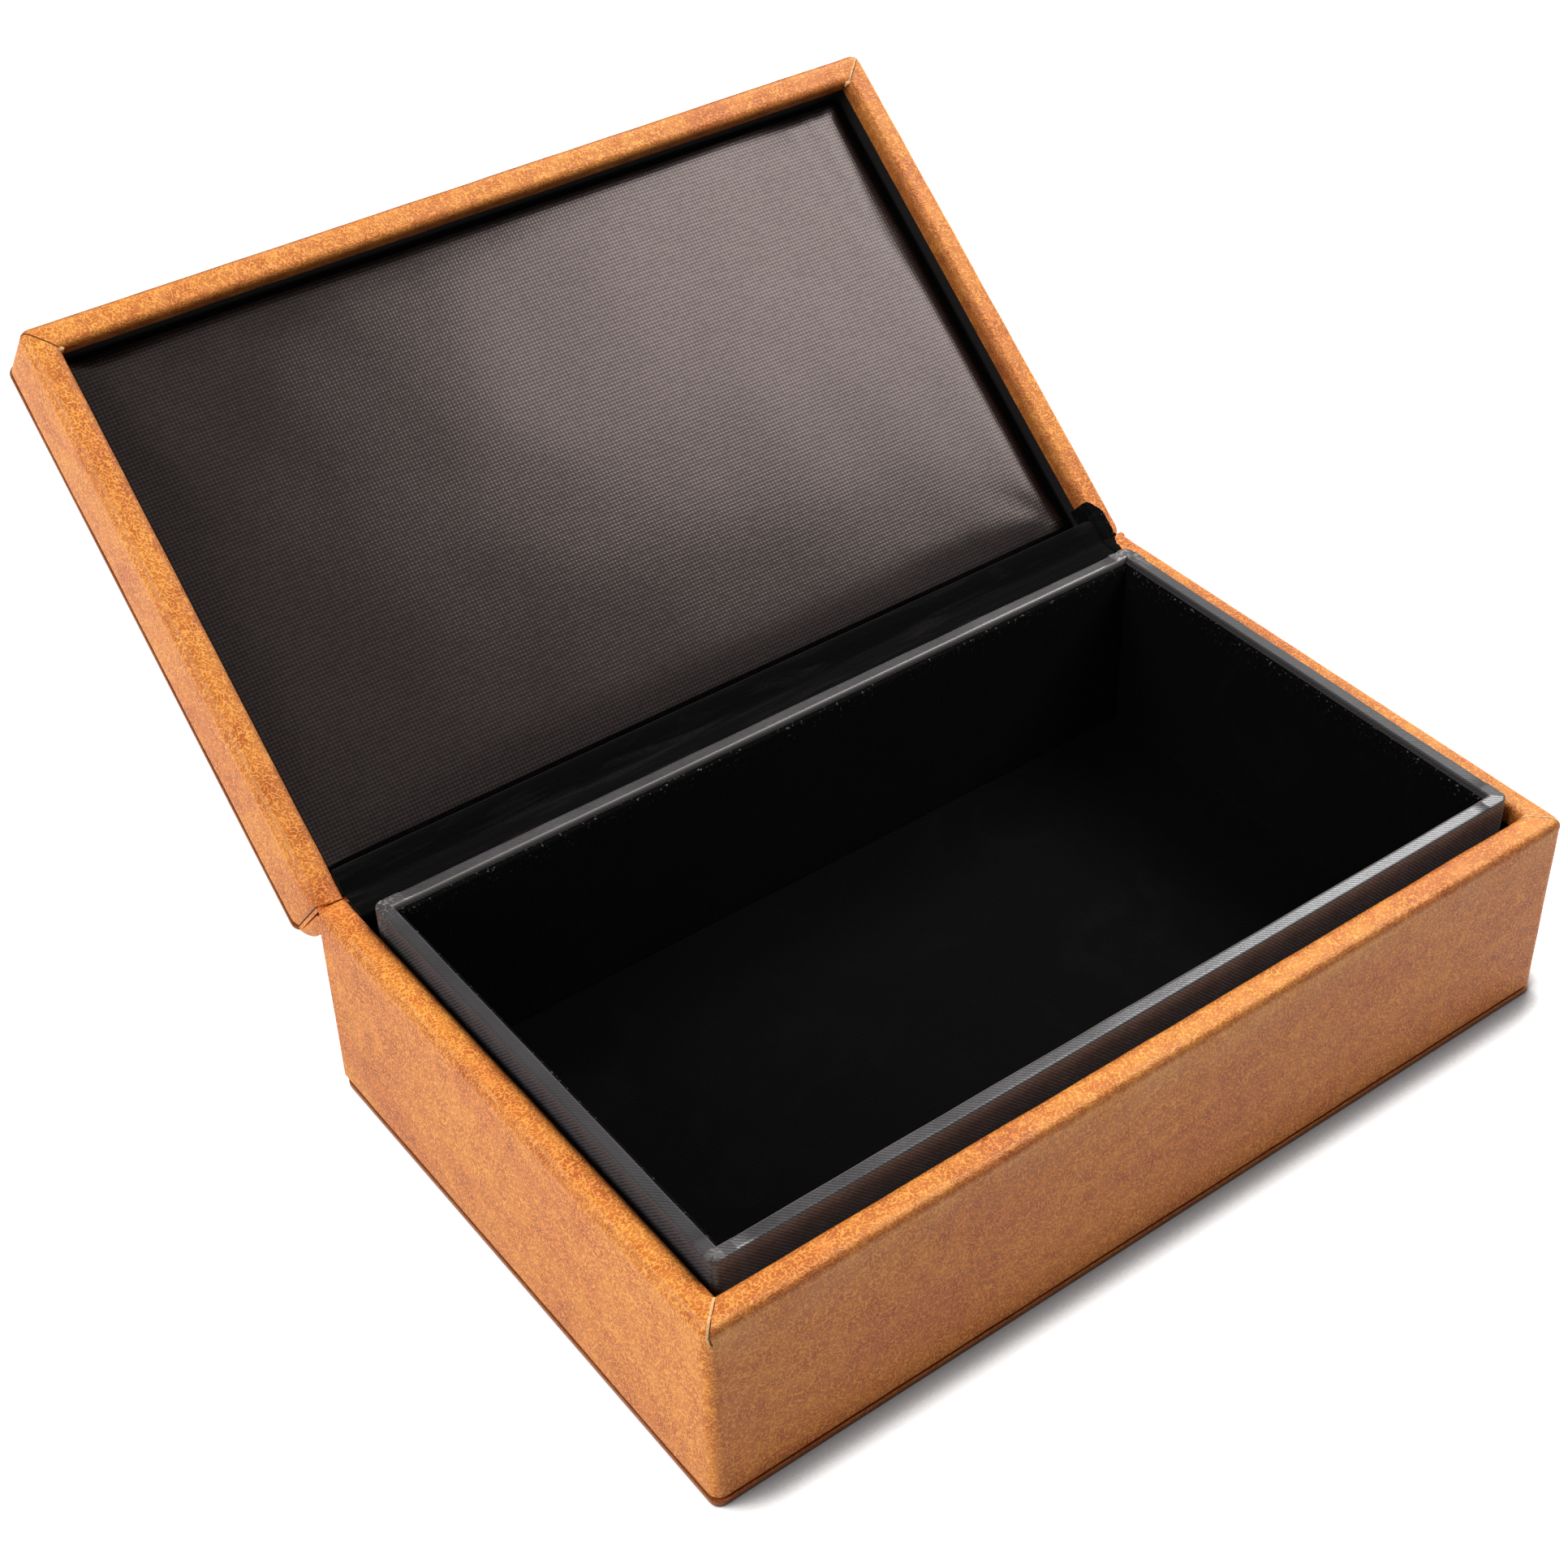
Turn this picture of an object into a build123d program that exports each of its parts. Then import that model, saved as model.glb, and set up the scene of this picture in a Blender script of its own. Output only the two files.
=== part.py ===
"""Hinged key box with a shielding collar inside, shown with its lid open.

Millimetres. X runs along the box, left to right seen from the front, -Y is the front,
+Y the hinge side and +Z up. The origin is the middle of the underside.

Base and lid are shallow trays of board, wrapped in imitation leather. One leather strip
goes round their front and sides, under the boards, over the rims and in. A wrapped card
panel closes each tray, and its leather runs on over the back to the other panel: that is
the spine. A velvet flap covers the hinge inside. A collar of thin board in conductive
cloth, lined with velvet, stands in the base and reaches up into the shut lid.
"""

import os
from math import cos, radians, sin

from build123d import *

# --- the box as a whole
BOX_LENGTH = 220.0
BOX_WIDTH = 136.0
BASE_HEIGHT = 49.0
LID_HEIGHT = 20.5
LID_OPEN_ANGLE = 140.0  # from shut to open, in degrees
RIM_GAP = 0.3  # between the two rims when shut

# --- boards
WALL_BOARD = 5.0
BASE_FLOOR_BOARD = 3.0
LID_PANEL_BOARD = 3.0
BOARD_CORNER_RADIUS = 1.8
BOARD_RIM_RADIUS = 1.6
BOARD_INNER_RADIUS = 0.6

# --- leather and the outer panels
LEATHER = 0.8
RIM_TURN_IN = 4.3
FOLDED_EDGE_RADIUS = 0.5
PANEL_CARD = 0.9
PANEL_INSET = 0.4  # the panels stand this far inside the walls
PANEL_CARD_CORNER_RADIUS = 2.2

# --- spine and flap
SPINE_LEAVES_BASE = 6.0  # the leather leaves the back wall this far below the rim
SPINE_BULGE = 1.2  # how far it sags from a straight line to the lid
SPINE_END_RELIEF = 2.0  # its folded ends stop this far short of the hinge line
FLAP = 0.7
FLAP_TAIL_BASE = 10.0
FLAP_END_CLEARANCE = 0.4

# --- collar
COLLAR_BOARD = 2.4
COLLAR_BOARD_CORNER_RADIUS = 1.5
COLLAR_BOARD_RIM_RADIUS = 0.35
COLLAR_CLOTH = 0.35
COLLAR_GAP_X = 1.5  # from the leather inside the rim to the collar
COLLAR_GAP_Y = 2.6
COLLAR_STANDS_PROUD = 3.95

# --- velvet
VELVET_WALL = 1.2
VELVET_FLOOR = 1.4
VELVET_DROP = 1.6  # the velvet walls end this far below the collar's rim
VELVET_EDGE_RADIUS = 0.5

# --- lid pad
LID_LINING = 0.4
PAD_CARD = 1.0
PAD_CLOTH = 0.4
PAD_CORNER_RADIUS = 3.0
PAD_EDGE_RADIUS = 3.6
PAD_CLEARANCE = 0.3
PAD_COLLAR_GAP = 3.55  # between the shut lid's pad and the collar

# --- sizes that follow
OUTER_X = BOX_LENGTH / 2
OUTER_Y = BOX_WIDTH / 2
BOARD_X = OUTER_X - LEATHER
BOARD_Y = OUTER_Y - LEATHER
INNER_X = BOARD_X - WALL_BOARD
INNER_Y = BOARD_Y - WALL_BOARD
RIM_INNER_X = INNER_X - LEATHER
RIM_INNER_Y = INNER_Y - LEATHER
PANEL_THICKNESS = PANEL_CARD + LEATHER
PANEL_X = OUTER_X - PANEL_INSET
BOARD_FOOT_Z = PANEL_THICKNESS + LEATHER
COLLAR_FOOT_Z = PANEL_THICKNESS + BASE_FLOOR_BOARD
COLLAR_TOP_Z = BASE_HEIGHT + COLLAR_STANDS_PROUD
COLLAR_X = RIM_INNER_X - COLLAR_GAP_X
COLLAR_Y = RIM_INNER_Y - COLLAR_GAP_Y
COLLAR_BOARD_X = COLLAR_X - COLLAR_CLOTH
COLLAR_BOARD_Y = COLLAR_Y - COLLAR_CLOTH
CAVITY_X = COLLAR_BOARD_X - COLLAR_BOARD - COLLAR_CLOTH
CAVITY_Y = COLLAR_BOARD_Y - COLLAR_BOARD - COLLAR_CLOTH
VELVET_FLOOR_Z = COLLAR_FOOT_Z + COLLAR_CLOTH
VELVET_WALL_Z = VELVET_FLOOR_Z + VELVET_FLOOR
VELVET_TOP_Z = COLLAR_TOP_Z - VELVET_DROP
PAD_FOOT_Z = PANEL_THICKNESS + LID_PANEL_BOARD
PAD_TOP_Z = LID_HEIGHT + RIM_GAP - COLLAR_STANDS_PROUD - PAD_COLLAR_GAP
PAD_X = INNER_X - LID_LINING - PAD_CLEARANCE
PAD_Y = INNER_Y - LID_LINING - PAD_CLEARANCE
FLAP_X = RIM_INNER_X - FLAP_END_CLEARANCE
FLAP_TAIL_LID = LID_HEIGHT - LEATHER - PAD_TOP_Z - PAD_CLEARANCE
BEYOND = 2 * BOX_LENGTH  # larger than anything that is cut

# --- the lid is built like the base, rim up, then turned over and swung open
HINGE = Axis((0, OUTER_Y, BASE_HEIGHT), (1, 0, 0))
LID_SHUT_Z = BASE_HEIGHT + RIM_GAP + LID_HEIGHT
HINGE_SECTION = Plane(origin=(0, OUTER_Y, BASE_HEIGHT), x_dir=(0, 1, 0), z_dir=(1, 0, 0))


def open_lid(piece):
    """Take a lid piece from its own frame to its place in the open box."""
    shut = mirror(piece, about=Plane.XY).moved(Location((0, 0, LID_SHUT_Z)))
    return shut.rotate(HINGE, -LID_OPEN_ANGLE)


def save(piece, name):
    """Label a finished piece and write it to a file of its own."""
    piece.label = name
    export_step(piece, f"parts/{name}.step")


# --- forms shared by base and lid
def wall_ring(half_x, half_y, low_z, high_z, thickness, added):
    """Walls with rounded rim and front corners; at the back the outside stays square.

    The radii are those of the boards, grown by what is added round them.
    """
    with BuildPart() as ring:
        with BuildSketch(Plane.XY.offset(low_z)) as plan:
            Rectangle(2 * half_x, 2 * half_y)
            fillet(plan.vertices().group_by(Axis.Y)[0], BOARD_CORNER_RADIUS + added)
            Rectangle(2 * (half_x - thickness), 2 * (half_y - thickness), mode=Mode.SUBTRACT)
        extrude(amount=high_z - low_z)
        rim = ring.faces().sort_by(Axis.Z)[-1]
        fillet(rim.outer_wire().edges().sort_by(Axis.Y)[:-1], BOARD_RIM_RADIUS + added)
        rim = ring.faces().sort_by(Axis.Z)[-1]
        fillet(rim.inner_wires()[0].edges(), BOARD_INNER_RADIUS + added)
    return ring.part


def board_ring(height):
    """The four wall boards in one ring, before they are cut apart."""
    return wall_ring(BOARD_X, BOARD_Y, BOARD_FOOT_Z, height - LEATHER, WALL_BOARD, 0)


def side_board(boards, side):
    """A side wall board, which runs from front to back."""
    with BuildPart() as board:
        add(boards)
        with Locations((side * (INNER_X + WALL_BOARD), 0, 0)):
            Box(2 * WALL_BOARD, BEYOND, BEYOND, mode=Mode.INTERSECT)
    return board.part


def front_board(boards):
    """The front wall board, which fits between the side boards."""
    with BuildPart() as board:
        add(boards)
        with Locations((0, -INNER_Y - WALL_BOARD, 0)):
            Box(2 * INNER_X, 2 * WALL_BOARD, BEYOND, mode=Mode.INTERSECT)
    return board.part


def back_board(boards):
    """The back wall board; with no leather under it, it stands on the outer panel."""
    with BuildPart() as board:
        add(boards)
        with Locations((0, INNER_Y + WALL_BOARD, 0)):
            Box(2 * INNER_X, 2 * WALL_BOARD, BEYOND, mode=Mode.INTERSECT)
        extrude(board.faces().sort_by(Axis.Z)[0], amount=LEATHER)
    return board.part


def wall_leather(height, boards):
    """The leather strip round front and sides: under the boards, over the rim and in."""
    wrapping = WALL_BOARD + 2 * LEATHER
    outside = wall_ring(OUTER_X, OUTER_Y, PANEL_THICKNESS, height, wrapping, LEATHER)
    with BuildPart() as strip:
        add(outside)
        sole = strip.faces().sort_by(Axis.Z)[0]
        fillet(sole.outer_wire().edges().sort_by(Axis.Y)[:-1], FOLDED_EDGE_RADIUS)
        add(boards, mode=Mode.SUBTRACT)
        # below its turned-in edge the strip covers the outside only
        with BuildSketch(Plane.XY.offset(PANEL_THICKNESS)):
            Rectangle(2 * INNER_X, 2 * INNER_Y)
        extrude(amount=height - RIM_TURN_IN - PANEL_THICKNESS, mode=Mode.SUBTRACT)
        # the back wall is left to the spine and the flap
        with BuildSketch(Plane.XY):
            with Locations((0, BOARD_Y + OUTER_Y)):
                Rectangle(BEYOND, BOX_WIDTH)
            with Locations((0, RIM_INNER_Y + OUTER_Y)):
                Rectangle(2 * RIM_INNER_X, BOX_WIDTH)
        extrude(amount=BEYOND, mode=Mode.SUBTRACT)
        with BuildSketch(Plane.XY):
            with Locations((0, INNER_Y + OUTER_Y)):
                Rectangle(2 * INNER_X, BOX_WIDTH)
        extrude(amount=height - RIM_TURN_IN, mode=Mode.SUBTRACT)
    return strip.part


def panel_card():
    """The card of an outer panel."""
    with BuildPart() as card:
        with BuildSketch(Plane.XY.offset(LEATHER)) as plan:
            with Locations((0, PANEL_INSET / 2)):
                Rectangle(2 * (PANEL_X - LEATHER), BOX_WIDTH - PANEL_INSET - 2 * LEATHER)
            fillet(plan.vertices().group_by(Axis.Y)[0], PANEL_CARD_CORNER_RADIUS)
        extrude(amount=PANEL_CARD)
    return card.part


def panel_leather(card):
    """The leather over an outer panel, folded round the edges of its card."""
    with BuildPart() as skin:
        with BuildSketch() as plan:
            with Locations((0, PANEL_INSET / 2)):
                Rectangle(2 * PANEL_X, BOX_WIDTH - PANEL_INSET)
            fillet(plan.vertices().group_by(Axis.Y)[0], PANEL_CARD_CORNER_RADIUS + LEATHER)
        extrude(amount=PANEL_THICKNESS)
        for flat in skin.faces().filter_by(Axis.Z):
            fillet(flat.outer_wire().edges().sort_by(Axis.Y)[:-1], FOLDED_EDGE_RADIUS)
        add(card, mode=Mode.SUBTRACT)
    return skin.part


def panel_board(thickness):
    """The board inside an outer panel, which fits between the wall boards."""
    with BuildPart() as board:
        with BuildSketch(Plane.XY.offset(PANEL_THICKNESS)):
            Rectangle(2 * INNER_X, 2 * INNER_Y)
        extrude(amount=thickness)
    return board.part


os.makedirs("parts", exist_ok=True)

# ==================== base ====================
base_card = panel_card()
save(base_card, "base_bottom_card")
save(panel_leather(base_card), "base_bottom_leather")
save(panel_board(BASE_FLOOR_BOARD), "base_floor_board")

base_boards = board_ring(BASE_HEIGHT)
save(front_board(base_boards), "base_front_board")
save(back_board(base_boards), "base_back_board")
save(side_board(base_boards, -1), "base_left_board")
save(side_board(base_boards, 1), "base_right_board")
save(wall_leather(BASE_HEIGHT, base_boards), "base_wall_leather")

# the back leather, from the bottom panel up to where the spine leaves the wall
with BuildPart() as base_back_leather:
    with BuildSketch(Plane.XY.offset(PANEL_THICKNESS)):
        with Locations((0, OUTER_Y - LEATHER / 2)):
            Rectangle(2 * PANEL_X, LEATHER)
    extrude(amount=BASE_HEIGHT - SPINE_LEAVES_BASE - PANEL_THICKNESS)
save(base_back_leather.part, "base_back_leather")


# -------------------- collar --------------------
def collar_ring(half_x, half_y, high_z, thickness, added):
    """The collar's four walls in one ring, with rounded corners and rim."""
    with BuildPart() as ring:
        with BuildSketch(Plane.XY.offset(COLLAR_FOOT_Z)):
            RectangleRounded(2 * half_x, 2 * half_y, COLLAR_BOARD_CORNER_RADIUS + added)
            Rectangle(2 * (half_x - thickness), 2 * (half_y - thickness), mode=Mode.SUBTRACT)
        extrude(amount=high_z - COLLAR_FOOT_Z)
        rim = ring.faces().sort_by(Axis.Z)[-1]
        fillet(rim.edges(), COLLAR_BOARD_RIM_RADIUS + added)
    return ring.part


collar_boards = collar_ring(
    COLLAR_BOARD_X, COLLAR_BOARD_Y, COLLAR_TOP_Z - COLLAR_CLOTH, COLLAR_BOARD, 0
)
collar_wrapping = COLLAR_BOARD + 2 * COLLAR_CLOTH
collar_form = collar_ring(COLLAR_X, COLLAR_Y, COLLAR_TOP_Z, collar_wrapping, COLLAR_CLOTH)

for side, name in ((-1, "collar_left_board"), (1, "collar_right_board")):
    with BuildPart() as collar_side_board:
        add(collar_boards)
        with Locations((side * COLLAR_BOARD_X, 0, 0)):
            Box(2 * COLLAR_BOARD, BEYOND, BEYOND, mode=Mode.INTERSECT)
    save(collar_side_board.part, name)

for side, name in ((-1, "collar_front_board"), (1, "collar_back_board")):
    with BuildPart() as collar_cross_board:
        add(collar_boards)
        with Locations((0, side * COLLAR_BOARD_Y, 0)):
            between_sides = 2 * (COLLAR_BOARD_X - COLLAR_BOARD)
            Box(between_sides, 2 * COLLAR_BOARD, BEYOND, mode=Mode.INTERSECT)
    save(collar_cross_board.part, name)

# the conductive cloth, over the collar's outside, rim and inside
with BuildPart() as collar_cloth:
    add(collar_form)
    add(collar_boards, mode=Mode.SUBTRACT)
save(collar_cloth.part, "collar_cloth")

with BuildPart() as floor_shield_cloth:
    with BuildSketch(Plane.XY.offset(COLLAR_FOOT_Z)):
        Rectangle(2 * CAVITY_X, 2 * CAVITY_Y)
    extrude(amount=COLLAR_CLOTH)
save(floor_shield_cloth.part, "floor_shield_cloth")

# -------------------- velvet --------------------
with BuildPart() as velvet_floor:
    with BuildSketch(Plane.XY.offset(VELVET_FLOOR_Z)):
        Rectangle(2 * CAVITY_X, 2 * CAVITY_Y)
    extrude(amount=VELVET_FLOOR)
save(velvet_floor.part, "velvet_floor")

for side, name in ((-1, "velvet_front"), (1, "velvet_back")):
    with BuildPart() as velvet_cross_wall:
        with BuildSketch(Plane.XY.offset(VELVET_WALL_Z)):
            with Locations((0, side * (CAVITY_Y - VELVET_WALL / 2))):
                Rectangle(2 * CAVITY_X, VELVET_WALL)
        extrude(amount=VELVET_TOP_Z - VELVET_WALL_Z)
        top = velvet_cross_wall.faces().sort_by(Axis.Z)[-1]
        fillet(top.edges().filter_by(Axis.X), VELVET_EDGE_RADIUS)
    save(velvet_cross_wall.part, name)

for side, name in ((-1, "velvet_left"), (1, "velvet_right")):
    with BuildPart() as velvet_side_wall:
        with BuildSketch(Plane.XY.offset(VELVET_WALL_Z)):
            with Locations((side * (CAVITY_X - VELVET_WALL / 2), 0)):
                Rectangle(VELVET_WALL, 2 * (CAVITY_Y - VELVET_WALL))
        extrude(amount=VELVET_TOP_Z - VELVET_WALL_Z)
        top = velvet_side_wall.faces().sort_by(Axis.Z)[-1]
        fillet(top.edges().filter_by(Axis.Y), VELVET_EDGE_RADIUS)
    save(velvet_side_wall.part, name)

# ==================== lid ====================
lid_card = panel_card()
save(open_lid(lid_card), "lid_top_card")
save(open_lid(panel_leather(lid_card)), "lid_top_leather")
save(open_lid(panel_board(LID_PANEL_BOARD)), "lid_panel_board")

lid_boards = board_ring(LID_HEIGHT)
save(open_lid(front_board(lid_boards)), "lid_front_board")
save(open_lid(back_board(lid_boards)), "lid_back_board")
save(open_lid(side_board(lid_boards, -1)), "lid_left_board")
save(open_lid(side_board(lid_boards, 1)), "lid_right_board")
save(open_lid(wall_leather(LID_HEIGHT, lid_boards)), "lid_wall_leather")

# lining paper on the front and side walls, up to the turned-in leather
with BuildPart() as lid_lining:
    with BuildSketch(Plane.XY.offset(PAD_FOOT_Z)):
        Rectangle(2 * INNER_X, 2 * INNER_Y)
        with Locations((0, LID_LINING)):
            Rectangle(2 * (INNER_X - LID_LINING), 2 * INNER_Y, mode=Mode.SUBTRACT)
    extrude(amount=LID_HEIGHT - RIM_TURN_IN - PAD_FOOT_Z)
save(open_lid(lid_lining.part), "lid_lining")


# -------------------- lid pad --------------------
def pad_form(cloth, foot_z, top_z):
    """The pad's pillow shape, grown by the cloth over it."""
    half_x = PAD_X - PAD_CLOTH + cloth
    half_y = PAD_Y - PAD_CLOTH + cloth
    with BuildPart() as form:
        with BuildSketch(Plane.XY.offset(foot_z)):
            RectangleRounded(2 * half_x, 2 * half_y, PAD_CORNER_RADIUS + cloth)
        extrude(amount=top_z - foot_z)
        edge_radius = min(PAD_EDGE_RADIUS + cloth, 0.8 * (top_z - foot_z))
        fillet(form.faces().sort_by(Axis.Z)[-1].edges(), edge_radius)
    return form.part


with BuildPart() as lid_pad_card:
    with BuildSketch(Plane.XY.offset(PAD_FOOT_Z)):
        RectangleRounded(2 * (PAD_X - PAD_CLOTH), 2 * (PAD_Y - PAD_CLOTH), PAD_CORNER_RADIUS)
    extrude(amount=PAD_CARD)

lid_pad_foam = pad_form(0, PAD_FOOT_Z + PAD_CARD, PAD_TOP_Z - PAD_CLOTH)

with BuildPart() as lid_pad_cloth:
    add(pad_form(PAD_CLOTH, PAD_FOOT_Z, PAD_TOP_Z))
    add(lid_pad_card.part, mode=Mode.SUBTRACT)
    add(lid_pad_foam, mode=Mode.SUBTRACT)

save(open_lid(lid_pad_card.part), "lid_pad_card")
save(open_lid(lid_pad_foam), "lid_pad_foam")
save(open_lid(lid_pad_cloth.part), "lid_pad_cloth")


# ==================== hinge ====================
def lid_point(outward, upward):
    """A point of the shut lid in the hinge section, carried to the open lid.

    Both are measured from the hinge line with the lid shut.
    """
    turn = radians(LID_OPEN_ANGLE)
    return (
        outward * cos(turn) + upward * sin(turn),
        upward * cos(turn) - outward * sin(turn),
    )


# the leather between base and lid: it hangs from wall to lid and is folded in at its ends
panel_edge = RIM_GAP + LID_HEIGHT - PANEL_THICKNESS
web_start = Vector(0, -SPINE_LEAVES_BASE)
web_end = Vector(*lid_point(0, panel_edge))
web_normal = (web_end - web_start).rotate(Axis.Z, -90).normalized()
web_middle = (web_start + web_end) / 2 + web_normal * SPINE_BULGE
web_inner_start = web_start - web_normal * LEATHER
web_inner_end = Vector(*lid_point(-LEATHER, panel_edge - LEATHER))
web_inner_middle = web_middle - web_normal * LEATHER

with BuildPart() as spine_leather:
    with BuildSketch(HINGE_SECTION):
        with BuildLine():
            ThreePointArc(web_start, web_middle, web_end)
            Polyline(
                web_end,
                lid_point(-LEATHER, panel_edge),
                lid_point(-LEATHER, SPINE_END_RELIEF),
                (-LEATHER, -SPINE_END_RELIEF),
                (-LEATHER, -SPINE_LEAVES_BASE),
                web_start,
            )
        make_face()
    extrude(amount=PANEL_X, both=True)
    with BuildSketch(HINGE_SECTION):
        with BuildLine():
            ThreePointArc((0, web_inner_start.Y), web_inner_middle, web_inner_end)
            Polyline(
                web_inner_end,
                lid_point(-LEATHER, SPINE_END_RELIEF),
                lid_point(-LEATHER, 0),
                (0, 0),
                (0, web_inner_start.Y),
            )
        make_face()
    extrude(amount=PANEL_X - LEATHER, both=True, mode=Mode.SUBTRACT)
save(spine_leather.part, "spine_leather")

# the velvet flap: down the base's back wall, over both rims and down the lid's back wall
rim_z = -LEATHER
rim_lid = RIM_GAP + LEATHER
with BuildPart() as hinge_flap:
    with BuildSketch(HINGE_SECTION):
        with BuildLine():
            Polyline(
                (INNER_Y - OUTER_Y, rim_z - FLAP_TAIL_BASE),
                (INNER_Y - OUTER_Y, rim_z),
                (0, rim_z),
                lid_point(0, rim_lid),
                lid_point(INNER_Y - OUTER_Y, rim_lid),
                lid_point(INNER_Y - OUTER_Y, rim_lid + FLAP_TAIL_LID),
                lid_point(INNER_Y - OUTER_Y - FLAP, rim_lid + FLAP_TAIL_LID),
                lid_point(INNER_Y - OUTER_Y - FLAP, rim_lid - FLAP),
                lid_point(0, rim_lid - FLAP),
                (0, rim_z + FLAP),
                (INNER_Y - OUTER_Y - FLAP, rim_z + FLAP),
                (INNER_Y - OUTER_Y - FLAP, rim_z - FLAP_TAIL_BASE),
                close=True,
            )
        make_face()
    extrude(amount=FLAP_X, both=True)
save(hinge_flap.part, "hinge_flap")
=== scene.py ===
"""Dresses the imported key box: wrapped leather, shielding cloth, velvet and the lid's pad.

Lengths are in millimetres up to the moment a point is handed to Blender, where MM turns
them to metres. Pieces of the lid are modelled as the lid stands on a bench, rim up, and
then turned over and swung to where the open lid is.
"""

import logging
import math
from collections.abc import Callable, Iterable
from dataclasses import dataclass
from enum import Enum

import bmesh
import bpy
from mathutils import Matrix, Vector, noise


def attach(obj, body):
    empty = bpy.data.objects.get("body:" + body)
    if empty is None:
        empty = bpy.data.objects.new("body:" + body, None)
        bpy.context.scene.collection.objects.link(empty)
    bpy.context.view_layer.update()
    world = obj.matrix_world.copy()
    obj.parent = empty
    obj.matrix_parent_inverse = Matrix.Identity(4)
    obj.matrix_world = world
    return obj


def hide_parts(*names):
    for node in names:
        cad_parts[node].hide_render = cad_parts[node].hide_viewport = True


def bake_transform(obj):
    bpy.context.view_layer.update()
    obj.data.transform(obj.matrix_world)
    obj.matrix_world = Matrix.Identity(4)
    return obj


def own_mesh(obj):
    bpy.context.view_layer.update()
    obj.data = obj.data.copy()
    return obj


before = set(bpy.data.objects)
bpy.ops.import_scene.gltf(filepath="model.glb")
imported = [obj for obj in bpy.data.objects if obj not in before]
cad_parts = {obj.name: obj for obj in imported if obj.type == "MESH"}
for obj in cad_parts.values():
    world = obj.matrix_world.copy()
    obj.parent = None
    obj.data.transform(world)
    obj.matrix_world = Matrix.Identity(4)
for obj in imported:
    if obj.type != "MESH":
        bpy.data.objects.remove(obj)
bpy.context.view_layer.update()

MM = 0.001
NEAR = 0.01  # places closer than this, in millimetres, are one place
log = logging.getLogger("key_box")
noise.seed_set(1)  # unseeded, the noise vectors would differ from run to run

Point = tuple[float, float, float]


# ============================ sizes ============================
@dataclass(frozen=True)
class BoxSizes:
    """The driving sizes of the box, in millimetres and degrees."""

    length: float = 220.0
    width: float = 136.0
    base_height: float = 49.0
    lid_height: float = 20.5
    rim_gap: float = 0.3
    open_angle: float = 140.0
    board: float = 5.0
    leather: float = 0.8
    panel: float = 1.45
    foot: float = 1.95
    turn_in: float = 4.3
    corner_radius: float = 2.6
    rim_radius: float = 2.4
    inner_radius: float = 1.4
    collar_x: float = 101.9
    collar_y: float = 58.8
    collar_wall: float = 3.1
    collar_top: float = 52.95
    collar_foot: float = 4.7
    pad_top: float = 13.3
    pad_foot: float = 4.7
    pad_x: float = 103.5
    pad_y: float = 61.5

    @property
    def half_x(self) -> float:
        """Half the length."""
        return self.length / 2

    @property
    def half_y(self) -> float:
        """Half the width."""
        return self.width / 2

    @property
    def rim_end(self) -> float:
        """How far back the rims reach: all but to the hinge line."""
        return self.half_y - 0.25

    @property
    def rim(self) -> float:
        """Width of a rim: a board between two layers of leather."""
        return self.board + 2 * self.leather

    @property
    def swing(self) -> float:
        """The lid's angle from shut to open, in radians."""
        return math.radians(self.open_angle)

    @property
    def hinge_line(self) -> Vector:
        """The middle of the hinge line, in metres."""
        return Vector((0, self.half_y, self.base_height)) * MM

    def inset(self, at: Vector) -> float:
        """How far inside the nearest of front and sides a point lies."""
        return min(self.half_x - abs(at.x), self.half_y + at.y)


BOX = BoxSizes()


def on_lid(u: float, v: float) -> tuple[float, float]:
    """Where a point of the open lid lies, as y and z.

    Args:
        u: How far behind the hinge line it lies with the lid shut.
        v: How far above the hinge line it lies with the lid shut.
    """
    cos, sin = math.cos(BOX.swing), math.sin(BOX.swing)
    return BOX.half_y + u * cos + v * sin, BOX.base_height + v * cos - u * sin


def open_lid() -> Matrix:
    """The move from the lid's bench, rim up, to the open lid, in metres."""
    hinge = Matrix.Translation(BOX.hinge_line)
    swing = Matrix.Rotation(-BOX.swing, 4, "X")
    lift = (BOX.base_height + BOX.rim_gap + BOX.lid_height) * MM
    turned_over = Matrix.Translation((0, 0, lift)) @ Matrix.Scale(-1, 4, (0, 0, 1))
    return hinge @ swing @ hinge.inverted() @ turned_over


class Section:
    """A line in the plane across the hinge, rounded at its corners and walked by distance."""

    def __init__(self, corners: list[tuple[float, float]], rounding: float) -> None:
        """Round the corners of a bent line.

        Args:
            corners: Its corners as y and z, in millimetres.
            rounding: How far before and after a corner the rounding reaches.
        """
        ends = [Vector(corner) for corner in corners]
        self.points = [ends[0]]
        for before, here, after in zip(ends, ends[1:], ends[2:]):
            start, stop = (
                here + (end - here).normalized() * min(rounding, (end - here).length / 2)
                for end in (before, after)
            )
            for share in (i / 8 for i in range(9)):
                turn = start.lerp(here, share).lerp(here.lerp(stop, share), share)
                self.points.append(turn)
        self.points.append(ends[-1])
        self.walked = [0.0]
        for one, other in zip(self.points, self.points[1:]):
            self.walked.append(self.walked[-1] + (other - one).length)

    @property
    def length(self) -> float:
        """Its length."""
        return self.walked[-1]

    def at(self, distance: float) -> tuple[Vector, Vector]:
        """The point at a distance from its start, and the direction to its left there."""
        last = len(self.points) - 2
        leg = next((i for i, far in enumerate(self.walked[1:]) if far >= distance), last)
        one, other = self.points[leg], self.points[leg + 1]
        along = (other - one).normalized()
        return one + along * (distance - self.walked[leg]), Vector((-along.y, along.x))


# ============================ bench ============================
class Pick(Enum):
    """What a selection is made of."""

    POINTS = "VERT"
    EDGES = "EDGE"
    FACES = "FACE"


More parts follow.
